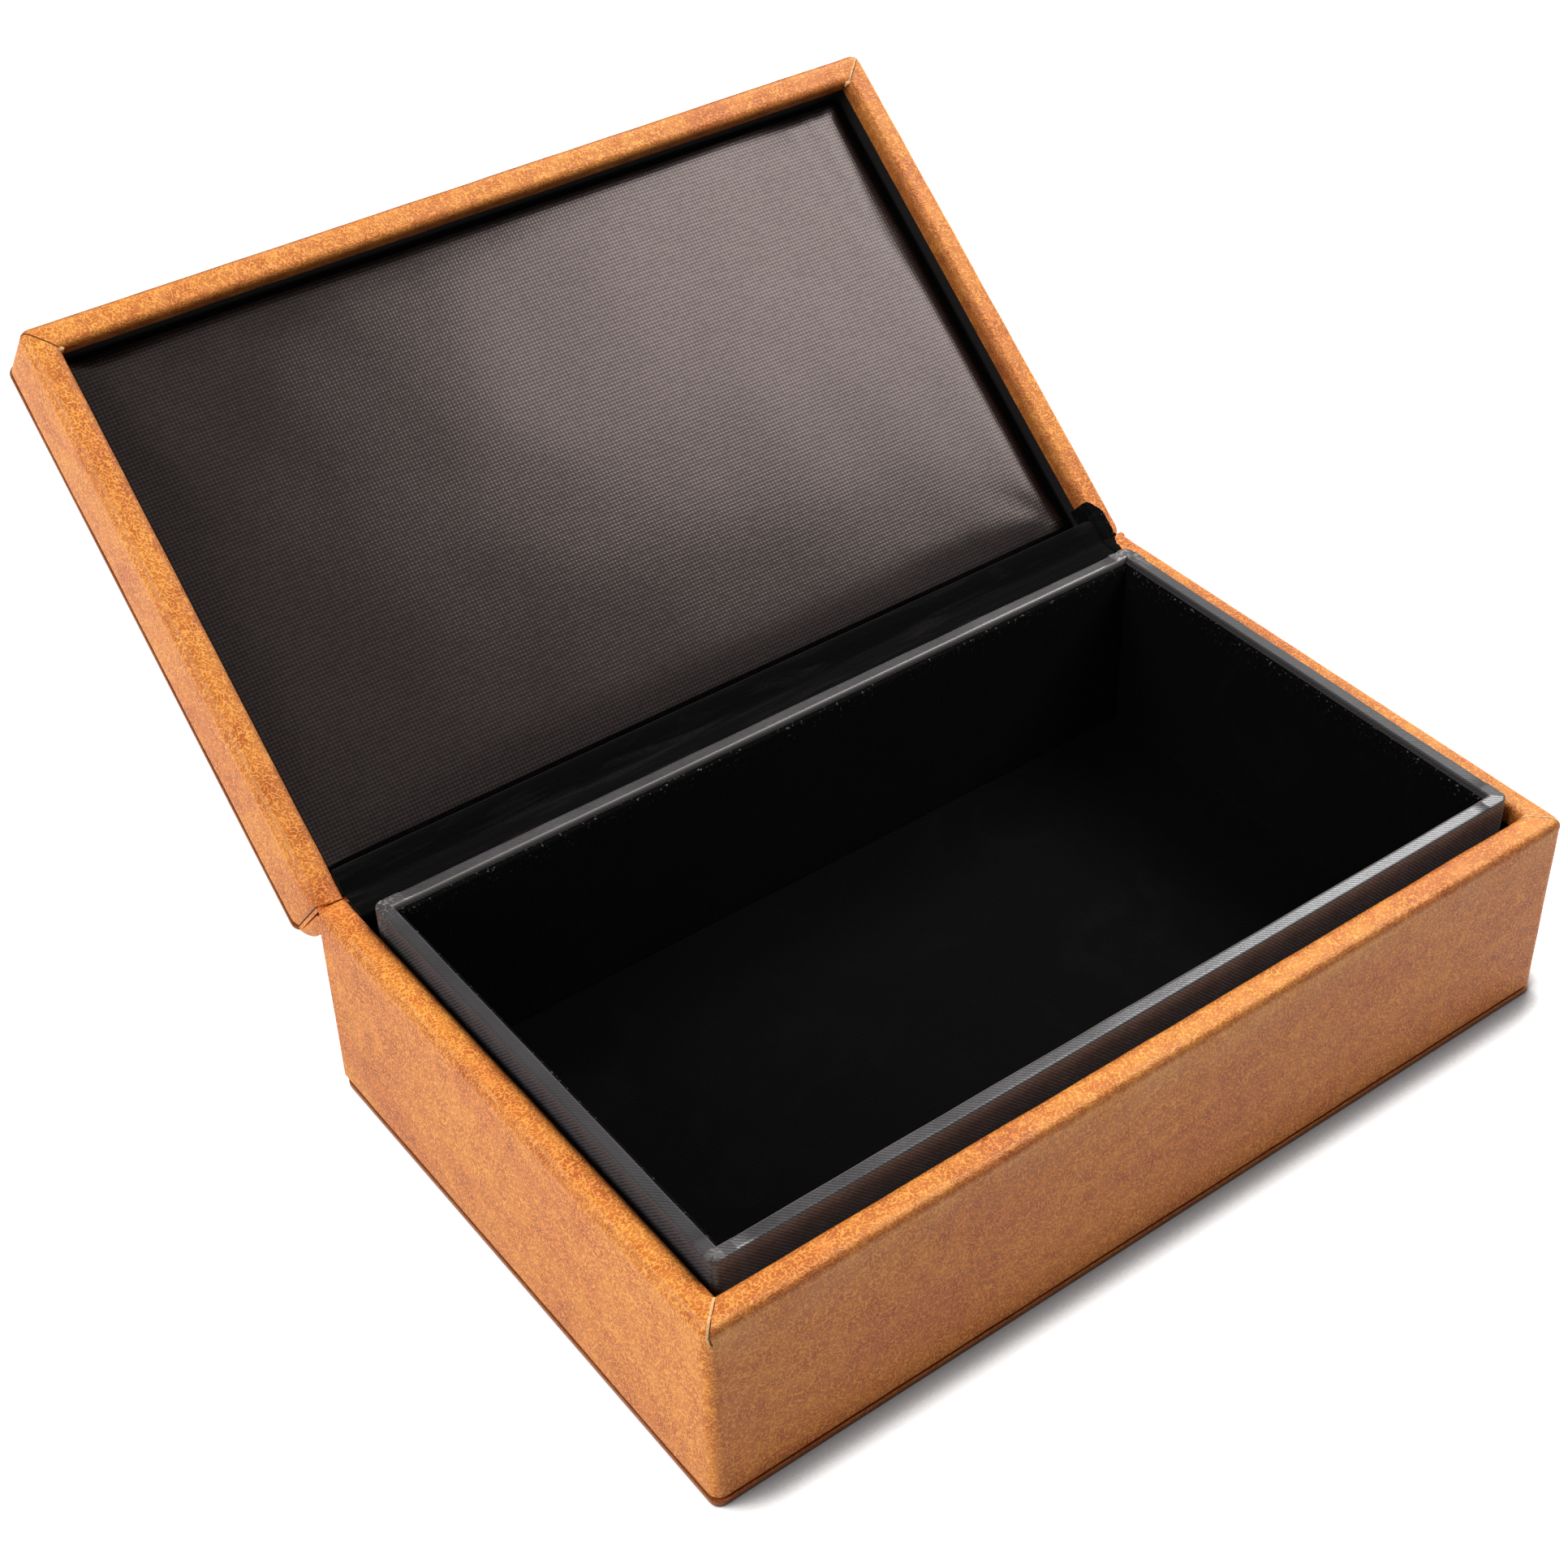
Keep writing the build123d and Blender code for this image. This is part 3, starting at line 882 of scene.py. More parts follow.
# ============================ leather ============================
@dataclass
class Tray:
    """One half of the shell, rim up: a leather strip over its boards and a covered outer panel."""

    name: str
    body: str
    height: float
    place: Matrix | None = None
    cell: float = 3.0
    foot_strip: float = 4.0
    lap: float = 0.0
    end_round: float = 0.0

    def past_edge(self, at: Vector) -> float:
        """Distance over the rim from its outer edge: on top and inside above 0, outside below."""
        inset, depth = max(BOX.inset(at), 0), self.height - at.z
        return inset + depth if inset > BOX.rim / 2 else inset - depth

    def shape_ends(self, at: Vector) -> Vector:
        """How the rims' back ends differ: a turned lap on top, a rounded outer corner."""
        back = BOX.rim_end - at.y
        inset = max(BOX.half_x - abs(at.x), 0)
        rise = self.lap if back < 2.7 and at.z > self.height - BOX.rim_radius else 0.0
        inward = 0.0
        if self.end_round > back:
            turn = 1 - back / self.end_round
            round_off = self.end_round * (1 - math.sqrt(max(1 - turn * turn, 0)))
            inward = 0.8 * round_off * max(1 - inset / BOX.rim, 0)
        return Vector((-math.copysign(inward, at.x), 0, rise))

    def wrap(self, finish: bpy.types.Material) -> None:
        """The strip round front and sides, over the rim and in, and under the foot."""
        top = self.height
        work = Workpiece(
            self.name + "_leather_wrap",
            (-BOX.half_x, -BOX.half_y, BOX.foot),
            (BOX.half_x, BOX.rim_end, top),
        )
        work.pick(Pick.FACES, lambda at, facing: facing.y > 0.5).delete(Pick.FACES)
        for up, width in ((1, BOX.rim), (-1, self.foot_strip)):
            x, y = BOX.half_x - width, BOX.half_y - width
            cuts = (((-x, 0, 0), (1, 0, 0)), ((x, 0, 0), (1, 0, 0)), ((0, -y, 0), (0, 1, 0)))
            for through, normal in cuts:
                work.pick(Pick.FACES, lambda at, facing: facing.z * up > 0.5).cut(through, normal)
            work.pick(Pick.FACES, lambda at, facing: facing.z * up > 0.5 and BOX.inset(at) > width)
            work.delete(Pick.FACES)
        work.pick(
            Pick.EDGES,
            lambda a, b, fold: min(a.z, b.z) > top - NEAR
            and BOX.inset((a + b) / 2) > BOX.rim - NEAR,
        )
        work.extrude((0, 0, -BOX.turn_in)).face_out()
        # the corners are rounded first, then the rim's outer and inner edges and the foot
        work.pick(
            Pick.EDGES,
            lambda a, b, fold: fold > 1 and BOX.inset(a) < NEAR and abs(a.z - b.z) > top / 2,
        )
        work.bevel(BOX.corner_radius, 6)
        for level, inset, radius, segments in (
            (top, 0, BOX.rim_radius, 6), (top, BOX.rim, BOX.inner_radius, 4), (BOX.foot, 0, 0.8, 4),
        ):
            work.pick(
                Pick.EDGES,
                lambda a, b, fold: max(abs(a.z - level), abs(b.z - level)) < NEAR
                and fold > 1
                and abs(BOX.inset((a + b) / 2) - inset) < BOX.corner_radius / 2,
            )
            work.bevel(radius, segments)
        for axis, half in ((0, BOX.half_x), (1, BOX.half_y)):
            work.slices(axis, between(-half + BOX.rim, half - BOX.rim, self.cell))
            for line in (0.45, 0.6, 0.75):
                work.slices(axis, (-half + BOX.rim * line, half - BOX.rim * line))
        work.slices(1, (BOX.rim_end - back for back in (2.8, 2.6, 1.9, 1.2, 0.7, 0.3)))
        work.slices(2, between(BOX.foot + 0.8, top - BOX.rim_radius, self.cell))
        work.move(self.shape_ends).dent(0.10, 15).dent(0.04, 5)
        work.measure("past_edge", self.past_edge)
        work.measure("front", lambda at: float(BOX.half_y + at.y < BOX.half_x - abs(at.x)))
        work.measure("below_rim", lambda at: 1 - fade(max(0, top - at.z - BOX.rim_radius), 4))
        work.face_out().thicken(BOX.leather)
        piece = work.finish(place=self.place)
        fit(piece, self.body, Slot.LEATHER, finish, self.body + "_wall_leather")

    def panel(self, finish: bpy.types.Material, node: str) -> None:
        """The covered card that closes the tray: leather round its edges, card inside."""
        low, high = (-BOX.half_x, -BOX.half_y, 0), (BOX.half_x, BOX.half_y, BOX.panel)
        work = Workpiece(self.name + "_outer_panel", low, high)
        work.pick(Pick.FACES, lambda at, facing: facing.z > 0.5).delete(Pick.FACES)
        work.pick(Pick.EDGES, lambda a, b, fold: fold > 1 and abs(a.z - b.z) > 1).bevel(2.2, 5)
        work.pick(Pick.EDGES, lambda a, b, fold: fold > 1 and max(a.z, b.z) < NEAR).bevel(0.55, 3)
        for axis, half in ((0, BOX.half_x), (1, BOX.half_y)):
            work.slices(axis, between(-half + 4, half - 4, 6))
            for margin in (1.7, 4):
                work.slices(axis, (-half + margin, half - margin))

        def sink(at: Vector) -> Vector:
            # the lid's covered face is gently uneven but never proud of its flat
            covered = self.place and at.z < 0.2
            return Vector((0, 0, 0.12 * (0.5 + 0.5 * noise.noise(at / 18)) if covered else 0))

        work.move(sink)
        # painted shade along the panel's edges, full within 0.4 mm of the edge and gone 1.6 mm in
        work.measure("panel_edge_shade", lambda at: fade(max(0, BOX.inset(at) - 0.4), 1.2))
        work.thicken(BOX.leather)
        fit(work.finish(place=self.place), self.body, Slot.LEATHER, finish, node)

    def build(self, edged: bpy.types.Material, plain: bpy.types.Material, panel_node: str) -> None:
        """Build both."""
        self.wrap(edged)
        self.panel(plain, panel_node)


class SeamKind(Enum):
    """How a mitre shows: an open cut edge or only a crease."""

    CUT = "cut"
    CREASE = "crease"


@dataclass
class MitreSeam:
    """The seam over a rim's corner, where two strips of leather meet."""

    name: str
    body: str
    height: float
    side: int
    kind: SeamKind
    place: Matrix | None = None
    down: float = 1.5
    hook: float = 0.5
    step: float = 0.3

    @property
    def round_over(self) -> float:
        """Length of the rim's outer rounding."""
        return BOX.rim_radius * math.pi / 2

    def corner_at(self, run: float) -> tuple[Vector, Vector]:
        """A point of the mitre and the direction out of the leather there.

        Args:
            run: Distance from the foot of the rim's outer rounding, inwards.

        Returns:
            The point, and the outward direction.
        """
        turn = min(max(run / BOX.rim_radius, 0), math.pi / 2)
        flat = max(run - self.round_over, 0)
        inside = BOX.rim_radius * (1 - math.cos(turn)) + flat
        drop = BOX.rim_radius * (1 - math.sin(turn)) + max(-run, 0)
        near_inner = BOX.inner_radius - (BOX.rim - inside)
        if near_inner > 0:
            near_inner = min(near_inner, BOX.inner_radius)
            drop += BOX.inner_radius - math.sqrt(BOX.inner_radius**2 - near_inner**2)
        start = BOX.corner_radius * (1 - math.sqrt(0.5))
        inset = start + inside / math.sqrt(2) if inside < BOX.corner_radius else inside
        inwards = Vector((-self.side, 1, 0)).normalized()
        place = Vector((self.side * (BOX.half_x - inset), -BOX.half_y + inset, self.height - drop))
        return place, (Vector((0, 0, math.sin(turn))) - inwards * math.cos(turn)).normalized()

    def strip(
        self, name: str, width: float, aside: float, proud: float, finish: bpy.types.Material
    ) -> None:
        """A narrow strip along the mitre.

        Args:
            name: The piece's name.
            width: Its width.
            aside: How far beside the mitre it runs.
            proud: How far it stands out of the leather.
            finish: Its material.
        """
        reach = self.round_over + (BOX.rim - BOX.rim_radius) + 0.2
        work = Workpiece(name, (-self.down, -width / 2, -0.25), (reach, width / 2, proud))
        work.pick(Pick.EDGES, lambda a, b, fold: min(a.z, b.z) > proud - NEAR)
        work.bevel(min(width, proud) * 0.4, 2)
        work.slices(0, between(-self.down, reach, self.step))
        sideways = Vector((1, self.side, 0)).normalized()

        def shift(at: Vector) -> Vector:
            foot, out = self.corner_at(at.x)
            wander = 0.12 * noise.noise(Vector((at.x * 0.6, self.side, self.height)))
            curl = self.hook * max(0, 1 - (at.x + self.down) / 2.5) ** 2
            taper = min(1, 0.35 + (at.x + self.down) * 0.5)
            return foot + out * at.z + sideways * (at.y * taper + aside + wander + curl) - at

        work.move(shift).face_out()
        fit(work.finish(place=self.place), self.body, Slot.LEATHER, finish)

    def chip(self, finish: bpy.types.Material) -> None:
        """The frayed tip of the mitre, which stands up pale in the rim's inner corner."""
        x, y = self.side * (BOX.half_x - BOX.rim - 0.1), -BOX.half_y + BOX.rim + 0.1
        top = self.height - 0.5
        low, high = (x - 0.65, y - 0.45, top - 1.4), (x + 0.65, y + 0.45, top)
        work = Workpiece(self.name + "_frayed_tip", low, high)
        work.pick(Pick.EDGES, lambda a, b, fold: True).bevel(0.2, 2)
        work.pick(Pick.FACES)
        bpy.ops.mesh.subdivide(number_cuts=2)
        work.move(lambda at: noise.noise_vector(at * 1.7) * 0.22)
        fit(work.finish(place=self.place), self.body, Slot.LEATHER, finish)

    def build(self, cut: bpy.types.Material, shade: bpy.types.Material) -> None:
        """Build the cut edge with painted shade in the gap beside it, or painted shade along the
        crease alone.
        """
        if self.body == "lid":
            self.chip(cut)
        if self.kind is SeamKind.CUT:
            self.strip(self.name + "_cut_edge", 0.5, 0.0, 0.13, cut)
            self.strip(self.name + "_gap", 0.22, 0.34, 0.04, shade)
        else:
            self.strip(self.name + "_crease", 0.3, 0.0, 0.05, shade)


# ============================ collar ============================
@dataclass
class Collar:
    """The shielding cloth drawn over the four boards that stand up inside the shell."""

    lap: float = 6.0
    lap_rise: float = 0.10
    fan: tuple[float, ...] = (0.25, 0.55, 0.85, 1.15, 1.4)
    cell: float = 4.0

    def corner(self, at: Vector) -> tuple[float, float]:
        """How far inside the collar's end and side a point lies."""
        return BOX.collar_x - abs(at.x), BOX.collar_y - abs(at.y)

    def fan_height(self, at: Vector) -> float:
        """Height of the gathers that spread over the near corner from its inner point."""
        if at.x > 0 or at.y > 0 or max(self.corner(at)) > self.lap or BOX.collar_top - at.z > 1.2:
            return 0.0
        x, y = (BOX.collar_wall - inside for inside in self.corner(at))
        reach = math.hypot(x, y)
        turn = math.atan2(y, x)
        return min(reach / 1.5, 1) * sum(bump(turn - ray, 0.16) for ray in self.fan)

    def crease(self, at: Vector) -> float:
        """How far the cloth is creased pale: on its gathers and folds and along an inner edge."""
        x, y = self.corner(at)
        along = BOX.collar_wall - min(x, y) < 0.3 and y < x and BOX.collar_top - at.z < 0.45
        crumpled = at.x > 0 and at.y > 0
        folds = fade(noise.noise(at / 1.9), 0.12) * fade(max(x, y), 7) if crumpled else 0.0
        reach = math.hypot(BOX.collar_wall - x, BOX.collar_wall - y)
        return 0.5 * self.fan_height(at) * fade(reach, 3.6) + 0.35 * along + 0.6 * folds

    def wear(self, at: Vector) -> float:
        """How worn the cloth is: rubbed at the corners, most at the back left one."""
        level, reach = (0.45, 6) if at.x < 0 < at.y else (0.1, 5)
        return level * fade(math.hypot(*self.corner(at)), reach)

    def drape(self, at: Vector) -> Vector:
        """How far the cloth's laps, gathers and crumples move a point."""
        x, y = self.corner(at)
        if max(x, y) > self.lap + 0.1 or BOX.collar_top - at.z > 10:
            return Vector()
        rise = self.lap_rise + 0.05 * self.fan_height(at)
        if at.x > 0 and at.y > 0:
            rise += 0.3 * abs(noise.noise(at / 1.6))
        out_x, out_y = math.copysign(x < 0.5, at.x), math.copysign(y < 0.5, at.y)
        return Vector((out_x, out_y, at.z > BOX.collar_top - 0.3)) * rise

    def build(self, finish: bpy.types.Material) -> None:
        """Model the cloth and dress it."""
        x, y, wall = BOX.collar_x, BOX.collar_y, BOX.collar_wall
        low, high = (-x, -y, BOX.collar_foot), (x, y, BOX.collar_top)
        work = Workpiece("collar_shielding_cloth", low, high)
        work.pick(Pick.FACES, lambda at, facing: facing.z < -0.5).delete(Pick.FACES)
        work.pick(Pick.FACES, lambda at, facing: facing.z > 0.5)
        bpy.ops.mesh.inset(thickness=wall * MM, depth=0)
        work.extrude((0, 0, BOX.collar_foot - BOX.collar_top)).delete(Pick.FACES)
        work.pick(Pick.EDGES, lambda a, b, fold: abs(a.x) > x - NEAR and abs(a.z - b.z) > 9)
        work.bevel(1.85, 5)
        work.pick(
            Pick.EDGES,
            lambda a, b, fold: min(a.z, b.z) > BOX.collar_top - NEAR and fold > 1,
        ).bevel(0.4, 3)
        for axis, half in ((0, x), (1, y)):
            work.slices(axis, between(-half + self.lap + 0.2, half - self.lap - 0.2, self.cell))
            for sign in (-1, 1):
                work.slices(axis, (sign * (half - self.lap), sign * (half - self.lap - 0.2)))
                work.slices(axis, (sign * (half - gap * 0.4) for gap in range(2, 14)))
        work.slices(2, between(BOX.collar_foot, BOX.collar_top - 3, 8))
        work.slices(2, (BOX.collar_top - 2.4, BOX.collar_top - 1.3))
        work.move(self.drape).dent(0.10, 14)
        work.measure("crease", self.crease)
        work.measure("top", lambda at: fade(BOX.collar_top - at.z - 0.15, 0.5))
        work.measure("front", lambda at: float(self.corner(at)[1] < self.corner(at)[0]))
        work.measure("wear", self.wear)
        work.face_out().thicken(0.35)
        piece = fit(work.finish(), "base", Slot.CLOTH, finish, "collar_cloth")


# ============================ velvet ============================
@dataclass
class VelvetLining:
    """The velvet that lines the cavity: a floor and four walls, the long ones right across."""

    wall_top: float = 51.35
    floor_top: float = 6.45
    floor_foot: float = 5.05
    thick: float = 1.2
    cell: float = 5.0

    @property
    def reach(self) -> tuple[float, float]:
        """Half sizes of the cavity inside the collar's cloth."""
        return BOX.collar_x - BOX.collar_wall, BOX.collar_y - BOX.collar_wall

    def panel(
        self, node: str, low: Point, high: Point, inwards: Point, finish: bpy.types.Material
    ) -> None:
        """One piece of velvet.

        Args:
            node: The node it stands for, and its name.
            low: Its lowest corner.
            high: Its highest corner.
            inwards: The direction its pile faces.
            finish: Its material.
        """
        pile = Vector(inwards)
        work = Workpiece(node + "_pile", low, high)
        face = max(Vector(low).dot(pile), Vector(high).dot(pile))
        work.pick(
            Pick.EDGES,
            lambda a, b, fold: fold > 1 and min(a.dot(pile), b.dot(pile)) > face - NEAR,
        ).bevel(0.5, 3)
        for axis in range(3):
            if high[axis] - low[axis] > 3:
                work.slices(axis, between(low[axis], high[axis], self.cell))

        def ripple(at: Vector) -> Vector:
            edge = min(
                min(at[i] - low[i], high[i] - at[i]) for i in range(3) if high[i] - low[i] > 3
            )
            if at.dot(pile) < face - 0.6:
                return Vector()
            rise = 0.28 * noise.noise(at / 17) - 0.1 + 0.2 * fade(edge - 3, 3)
            return pile * rise * min(1, edge / 2)

        work.move(ripple)
        if not pile.z:
            work.measure("fuzz", lambda at: fade(self.wall_top - at.z, 0.9))
        fit(work.finish(50), "base", Slot.VELVET, finish, node)

    def build(self, finish: bpy.types.Material) -> None:
        """Build all five."""
        x, y = self.reach
        foot, top, thick = self.floor_top, self.wall_top, self.thick
        self.panel("velvet_floor", (-x, -y, self.floor_foot), (x, y, foot), (0, 0, 1), finish)
        self.panel("velvet_front", (-x, -y, foot), (x, -y + thick, top), (0, 1, 0), finish)
        self.panel("velvet_back", (-x, y - thick, foot), (x, y, top), (0, -1, 0), finish)
        side = y - thick
        self.panel("velvet_left", (-x, -side, foot), (-x + thick, side, top), (1, 0, 0), finish)
        self.panel("velvet_right", (x - thick, -side, foot), (x, side, top), (-1, 0, 0), finish)


# ============================ lid pad ============================
@dataclass
class LidPad:
    """The padded card in the lid: satin drawn over foam."""

    slack: float = 0.1
    edge: float = 1.5
    front_edge: float = 0.4
    corner: float = 1.8
    cell: float = 3.5
    pressure: float = 4.0
    most: float = 0.6

    def stuff(self, piece: bpy.types.Object) -> None:
        """Fill a closed form by cloth simulation, its back held flat on the card."""
        bpy.context.view_layer.objects.active = piece
        piece.select_set(True)
        back = piece.vertex_groups.new(name="back")
        low = BOX.pad_foot + 1.5
        back.add([p.index for p in piece.data.vertices if p.co.z / MM < low], 1.0, "REPLACE")
        flat = [point.co.copy() for point in piece.data.vertices]
        cloth = piece.modifiers.new("stuffing", "CLOTH")
        cloth.settings.vertex_group_mass = "back"
        cloth.settings.use_pressure = True
        cloth.settings.uniform_pressure_force = self.pressure
        cloth.settings.effector_weights.gravity = 0
        cloth.settings.quality = 4
        cloth.point_cache.frame_start, cloth.point_cache.frame_end = 1, 20
        for frame_number in range(1, 21):
            bpy.context.scene.frame_set(frame_number)
        bpy.ops.object.modifier_apply(modifier=cloth.name)
        walls = Vector((BOX.pad_x - self.slack, BOX.pad_y - self.slack, 1000)) * MM
        for point, was in zip(piece.data.vertices, flat):
            swell = point.co - was
            if swell.length > self.most * MM:
                point.co = was + swell.normalized() * self.most * MM
            point.co = Vector(max(-wall, min(wall, at)) for at, wall in zip(point.co, walls))
        bpy.context.scene.frame_set(1)
        piece.vertex_groups.clear()
        smooth = piece.modifiers.new("smooth", "SUBSURF")
        smooth.levels = smooth.render_levels = 1
        bpy.ops.object.modifier_apply(modifier=smooth.name)

    def wrinkle(self, at: Vector) -> Vector:
        """Soft wrinkles by the right edge, most at the front corner, and slight waves elsewhere."""
        edge = BOX.pad_x - at.x
        near_corner = fade(at.y + BOX.pad_y, 60)
        drawn = 0.09 * bump(edge - 9, 22) * near_corner * math.sin(edge * 0.9 + 0.03 * at.y)
        waves = 0.10 * noise.noise(at / 21)
        return Vector((0, 0, drawn + waves)) if at.z > BOX.pad_foot + 5 else Vector()

    def build(self, finish: bpy.types.Material) -> None:
        """Model the pad, stuff it and dress it."""
        x, y, slack = BOX.pad_x - self.slack, BOX.pad_y - self.slack, self.slack
        top = BOX.pad_top - slack
        work = Workpiece("lid_satin_pad", (-x, -y, BOX.pad_foot + slack), (x, y, top))
        work.pick(Pick.EDGES, lambda a, b, fold: abs(a.z - b.z) > 3).bevel(self.corner, 5)
        work.pick(Pick.EDGES, lambda a, b, fold: fold > 1 and min(a.z, b.z) > top - NEAR)
        work.bevel(self.edge, 4)
        # the cloth is drawn tight over the front edge, whose rounding is pressed out to the rim
        pressed = 1 - self.front_edge / self.edge

        def press(at: Vector) -> Vector:
            from_front = at.y + y
            return Vector((0, -pressed * max(0, min(from_front, 2 * self.edge - from_front)), 0))

        work.move(press).grid(x, y, self.corner, self.cell)
        self.stuff(work.finish())
        bpy.ops.object.mode_set(mode="EDIT")
        work.move(self.wrinkle)
        piece = work.finish(60, open_lid())
        fit(piece, "lid", Slot.SATIN, finish, "lid_pad_cloth", "lid_pad_foam")


# ============================ hinge ============================
@dataclass
class Hinge:
    """The pinless hinge: velvet inside, leather behind, and the leather's spare fold."""

    flap: float = 0.7
    half: float = 103.0
    back_top: float = 43.0
    panel_edge: float = 19.1
    bulge: float = 1.2
    leather_half: float = 109.15
    fold_half: float = 109.2
    squashed: float = 0.17
    pressed: float = 0.25

    def flap_end(self, finish: bpy.types.Material) -> None:
        """The end of the velvet that laps over the lid's right rim, cut aslant and fraying."""
        top, wall = BOX.lid_height, BOX.half_x - BOX.rim - 0.2
        low, high, start = 97.6, 107.4, 57.4
        work = Workpiece("hinge_velvet_end", (low, start, top), (high, BOX.rim_end, top + 0.28))
        work.slices(0, between(low, high, 0.4)).slices(1, between(start, BOX.rim_end, 0.4))

        def trim(at: Vector) -> Vector:
            far = (at.y - start) / (BOX.rim_end - start)
            slant = 3.6 * min(1, far * 2.4 + 0.15) ** 0.7
            reach = wall + 0.5 + slant + 0.25 * noise.noise(at * 1.3)
            if at.x < wall:
                return Vector((wall - (at.z - top) - at.x, 0, at.x - wall - 0.4))
            share = (at.x - wall) / (high - wall)
            sink = 0.5 * max(0, 1 - (at.x - wall) / 1.4) ** 2
            rise = 0.1 * noise.noise(at * 0.8) - 0.1 - sink
            return Vector((wall + share * (reach - wall) - at.x, 0, rise))

        work.move(trim)
        work.measure("fuzz", lambda at: fade(high - at.x, 1.4) * (at.y > 60))
        piece = fit(work.finish(60, open_lid()), "lid", Slot.VELVET, finish)
        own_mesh(piece)

    def flap_corner(self, finish: bpy.types.Material) -> None:
        """The velvet that spills over the inner corner of the base's right rim at the hinge."""
        low, high, start, top = 102.2, 106.6, 59.5, BOX.base_height + 0.3
        stop = BOX.rim_end + 0.1
        work = Workpiece("hinge_velvet_corner", (low, start, top - 0.8), (high, stop, top))
        work.slices(0, between(low, high, 0.4)).slices(1, between(start, BOX.rim_end, 0.4))

        def trim(at: Vector) -> Vector:
            far = max(0, (at.y - start) / (BOX.rim_end - start))
            reach = low + 1.0 + 3.3 * far**1.3 + 0.2 * noise.noise(at * 1.4)
            share = (at.x - low) / (high - low)
            sink = 0.25 * share**3 + 0.5 * max(0, 1 - share * 4) ** 2
            return Vector(((reach - low) * share + low - at.x, 0, 0.08 * noise.noise(at) - sink))

        work.move(trim)
        work.measure("fuzz", lambda at: fade(high - at.x, 1.2) * 0.5)
        piece = fit(work.finish(60), "base", Slot.VELVET, finish)
        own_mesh(piece)

    def end_tab(self, leather: bpy.types.Material, cut: bpy.types.Material) -> None:
        """The little tab of leather at the hinge's right end, its cut side showing pale."""
        for name, low, high, finish in (
            ("hinge_end_tab", (106.6, 67.7, 47.9), (109.7, 69.0, 48.8), leather),
            ("hinge_end_tab_cut", (106.9, 68.0, 48.4), (108.1, 68.7, 48.95), cut),
        ):
            work = Workpiece(name, low, high)
            work.pick(Pick.EDGES, lambda a, b, fold: True).bevel(0.25, 3)
            work.pick(Pick.FACES)
            bpy.ops.mesh.subdivide(number_cuts=2)
            work.move(lambda at: noise.noise_vector(at * 1.2) * 0.12)
            fit(work.finish(), "base", Slot.LEATHER, finish)

    def velvet_flap(self, finish: bpy.types.Material) -> None:
        """The velvet strip from the base's back wall over the hinge into the lid."""
        middle = self.flap / 2
        inner = BOX.half_y - BOX.rim + 0.1 + middle
        top = BOX.base_height - 0.1 - middle
        line = Section(
            [
                (inner, 38.2), (inner, top), (BOX.half_y - 0.2, top), on_lid(-0.1, 0.4 + middle),
                on_lid(-BOX.rim + 0.45, 0.4 + middle), on_lid(-BOX.rim + 0.45, 7.2),
            ],
            rounding=0.7,
        )
        low, high = (-self.half, 0, -middle), (self.half, line.length, middle)
        work = Workpiece("hinge_velvet_flap", low, high)
        work.pick(Pick.EDGES, lambda a, b, fold: fold > 1).bevel(0.25, 2)
        work.slices(0, between(-self.half, self.half, 5)).slices(1, between(0, line.length, 0.7))
        ridges = (12.2, 14.6, 20.4)

        def gather(at: Vector) -> Vector:
            wander = 0.8 * noise.noise(Vector((at.x / 30, 3.1, 0)))
            lift = sum(bump(at.y - ridge - wander, 1.6) for ridge in ridges)
            vary = 0.7 + 0.3 * noise.noise(Vector((at.x / 14, at.y, 0)))
            return Vector((0, 0, 0.2 * lift * vary))

        work.move(gather).follow(line)
        work.measure("fuzz", lambda at: 0.0)
        piece = fit(work.finish(60), None, Slot.VELVET, finish, "hinge_flap")
        self.across(-0.3)
        self.across(0.4)
        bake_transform(piece)

    def across(self, distance: float) -> Point:
        """A point off the hinge line, in metres, in the direction that tells base from open lid."""
        turn = math.radians((180 - BOX.open_angle) / 2)
        return (
            0.0,
            (BOX.half_y + distance * math.cos(turn)) * MM,
            (BOX.base_height + distance * math.sin(turn)) * MM,
        )

    def back_strip(self, finish: bpy.types.Material) -> None:
        """The leather that stays glued to both backs and bends at the hinge line."""
        middle = BOX.leather / 2
        line = Section(
            [
                (BOX.half_y - middle, self.back_top), (BOX.half_y - middle, BOX.base_height - 1.6),
                on_lid(-middle, 1.6), on_lid(-middle, self.panel_edge - 0.3),
            ],
            rounding=0.5,
        )
        low, high = (-self.leather_half, 0, -middle), (self.leather_half, line.length, middle)
        work = Workpiece("hinge_leather_strip", low, high)
        work.slices(0, between(-109, 109, 6)).slices(1, between(0, line.length, 0.8)).follow(line)
        piece = fit(work.finish(50), None, Slot.LEATHER, finish)
        self.across(-0.17)
        self.across(0.17)
        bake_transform(piece)

    def base_back(self, finish: bpy.types.Material) -> None:
        """The leather on the base's back."""
        half = self.leather_half
        low, high = (-half, BOX.half_y - BOX.leather, BOX.foot), (half, BOX.half_y, self.back_top)
        work = Workpiece("base_back_cover", low, high)
        work.pick(Pick.EDGES, lambda a, b, fold: fold > 1 and min(a.y, b.y) > BOX.half_y - NEAR)
        work.bevel(0.3, 2)
        work.slices(0, between(-109, 109, 6)).slices(2, between(BOX.foot, self.back_top, 5))

        def sink(at: Vector) -> Vector:
            depth = 0.12 * (0.5 + 0.5 * noise.noise(at / 15))
            return Vector((0, -depth, 0)) if at.y > BOX.half_y - 0.3 else Vector()

        work.move(sink)
        fit(work.finish(50), "base", Slot.LEATHER, finish, "base_back_leather")

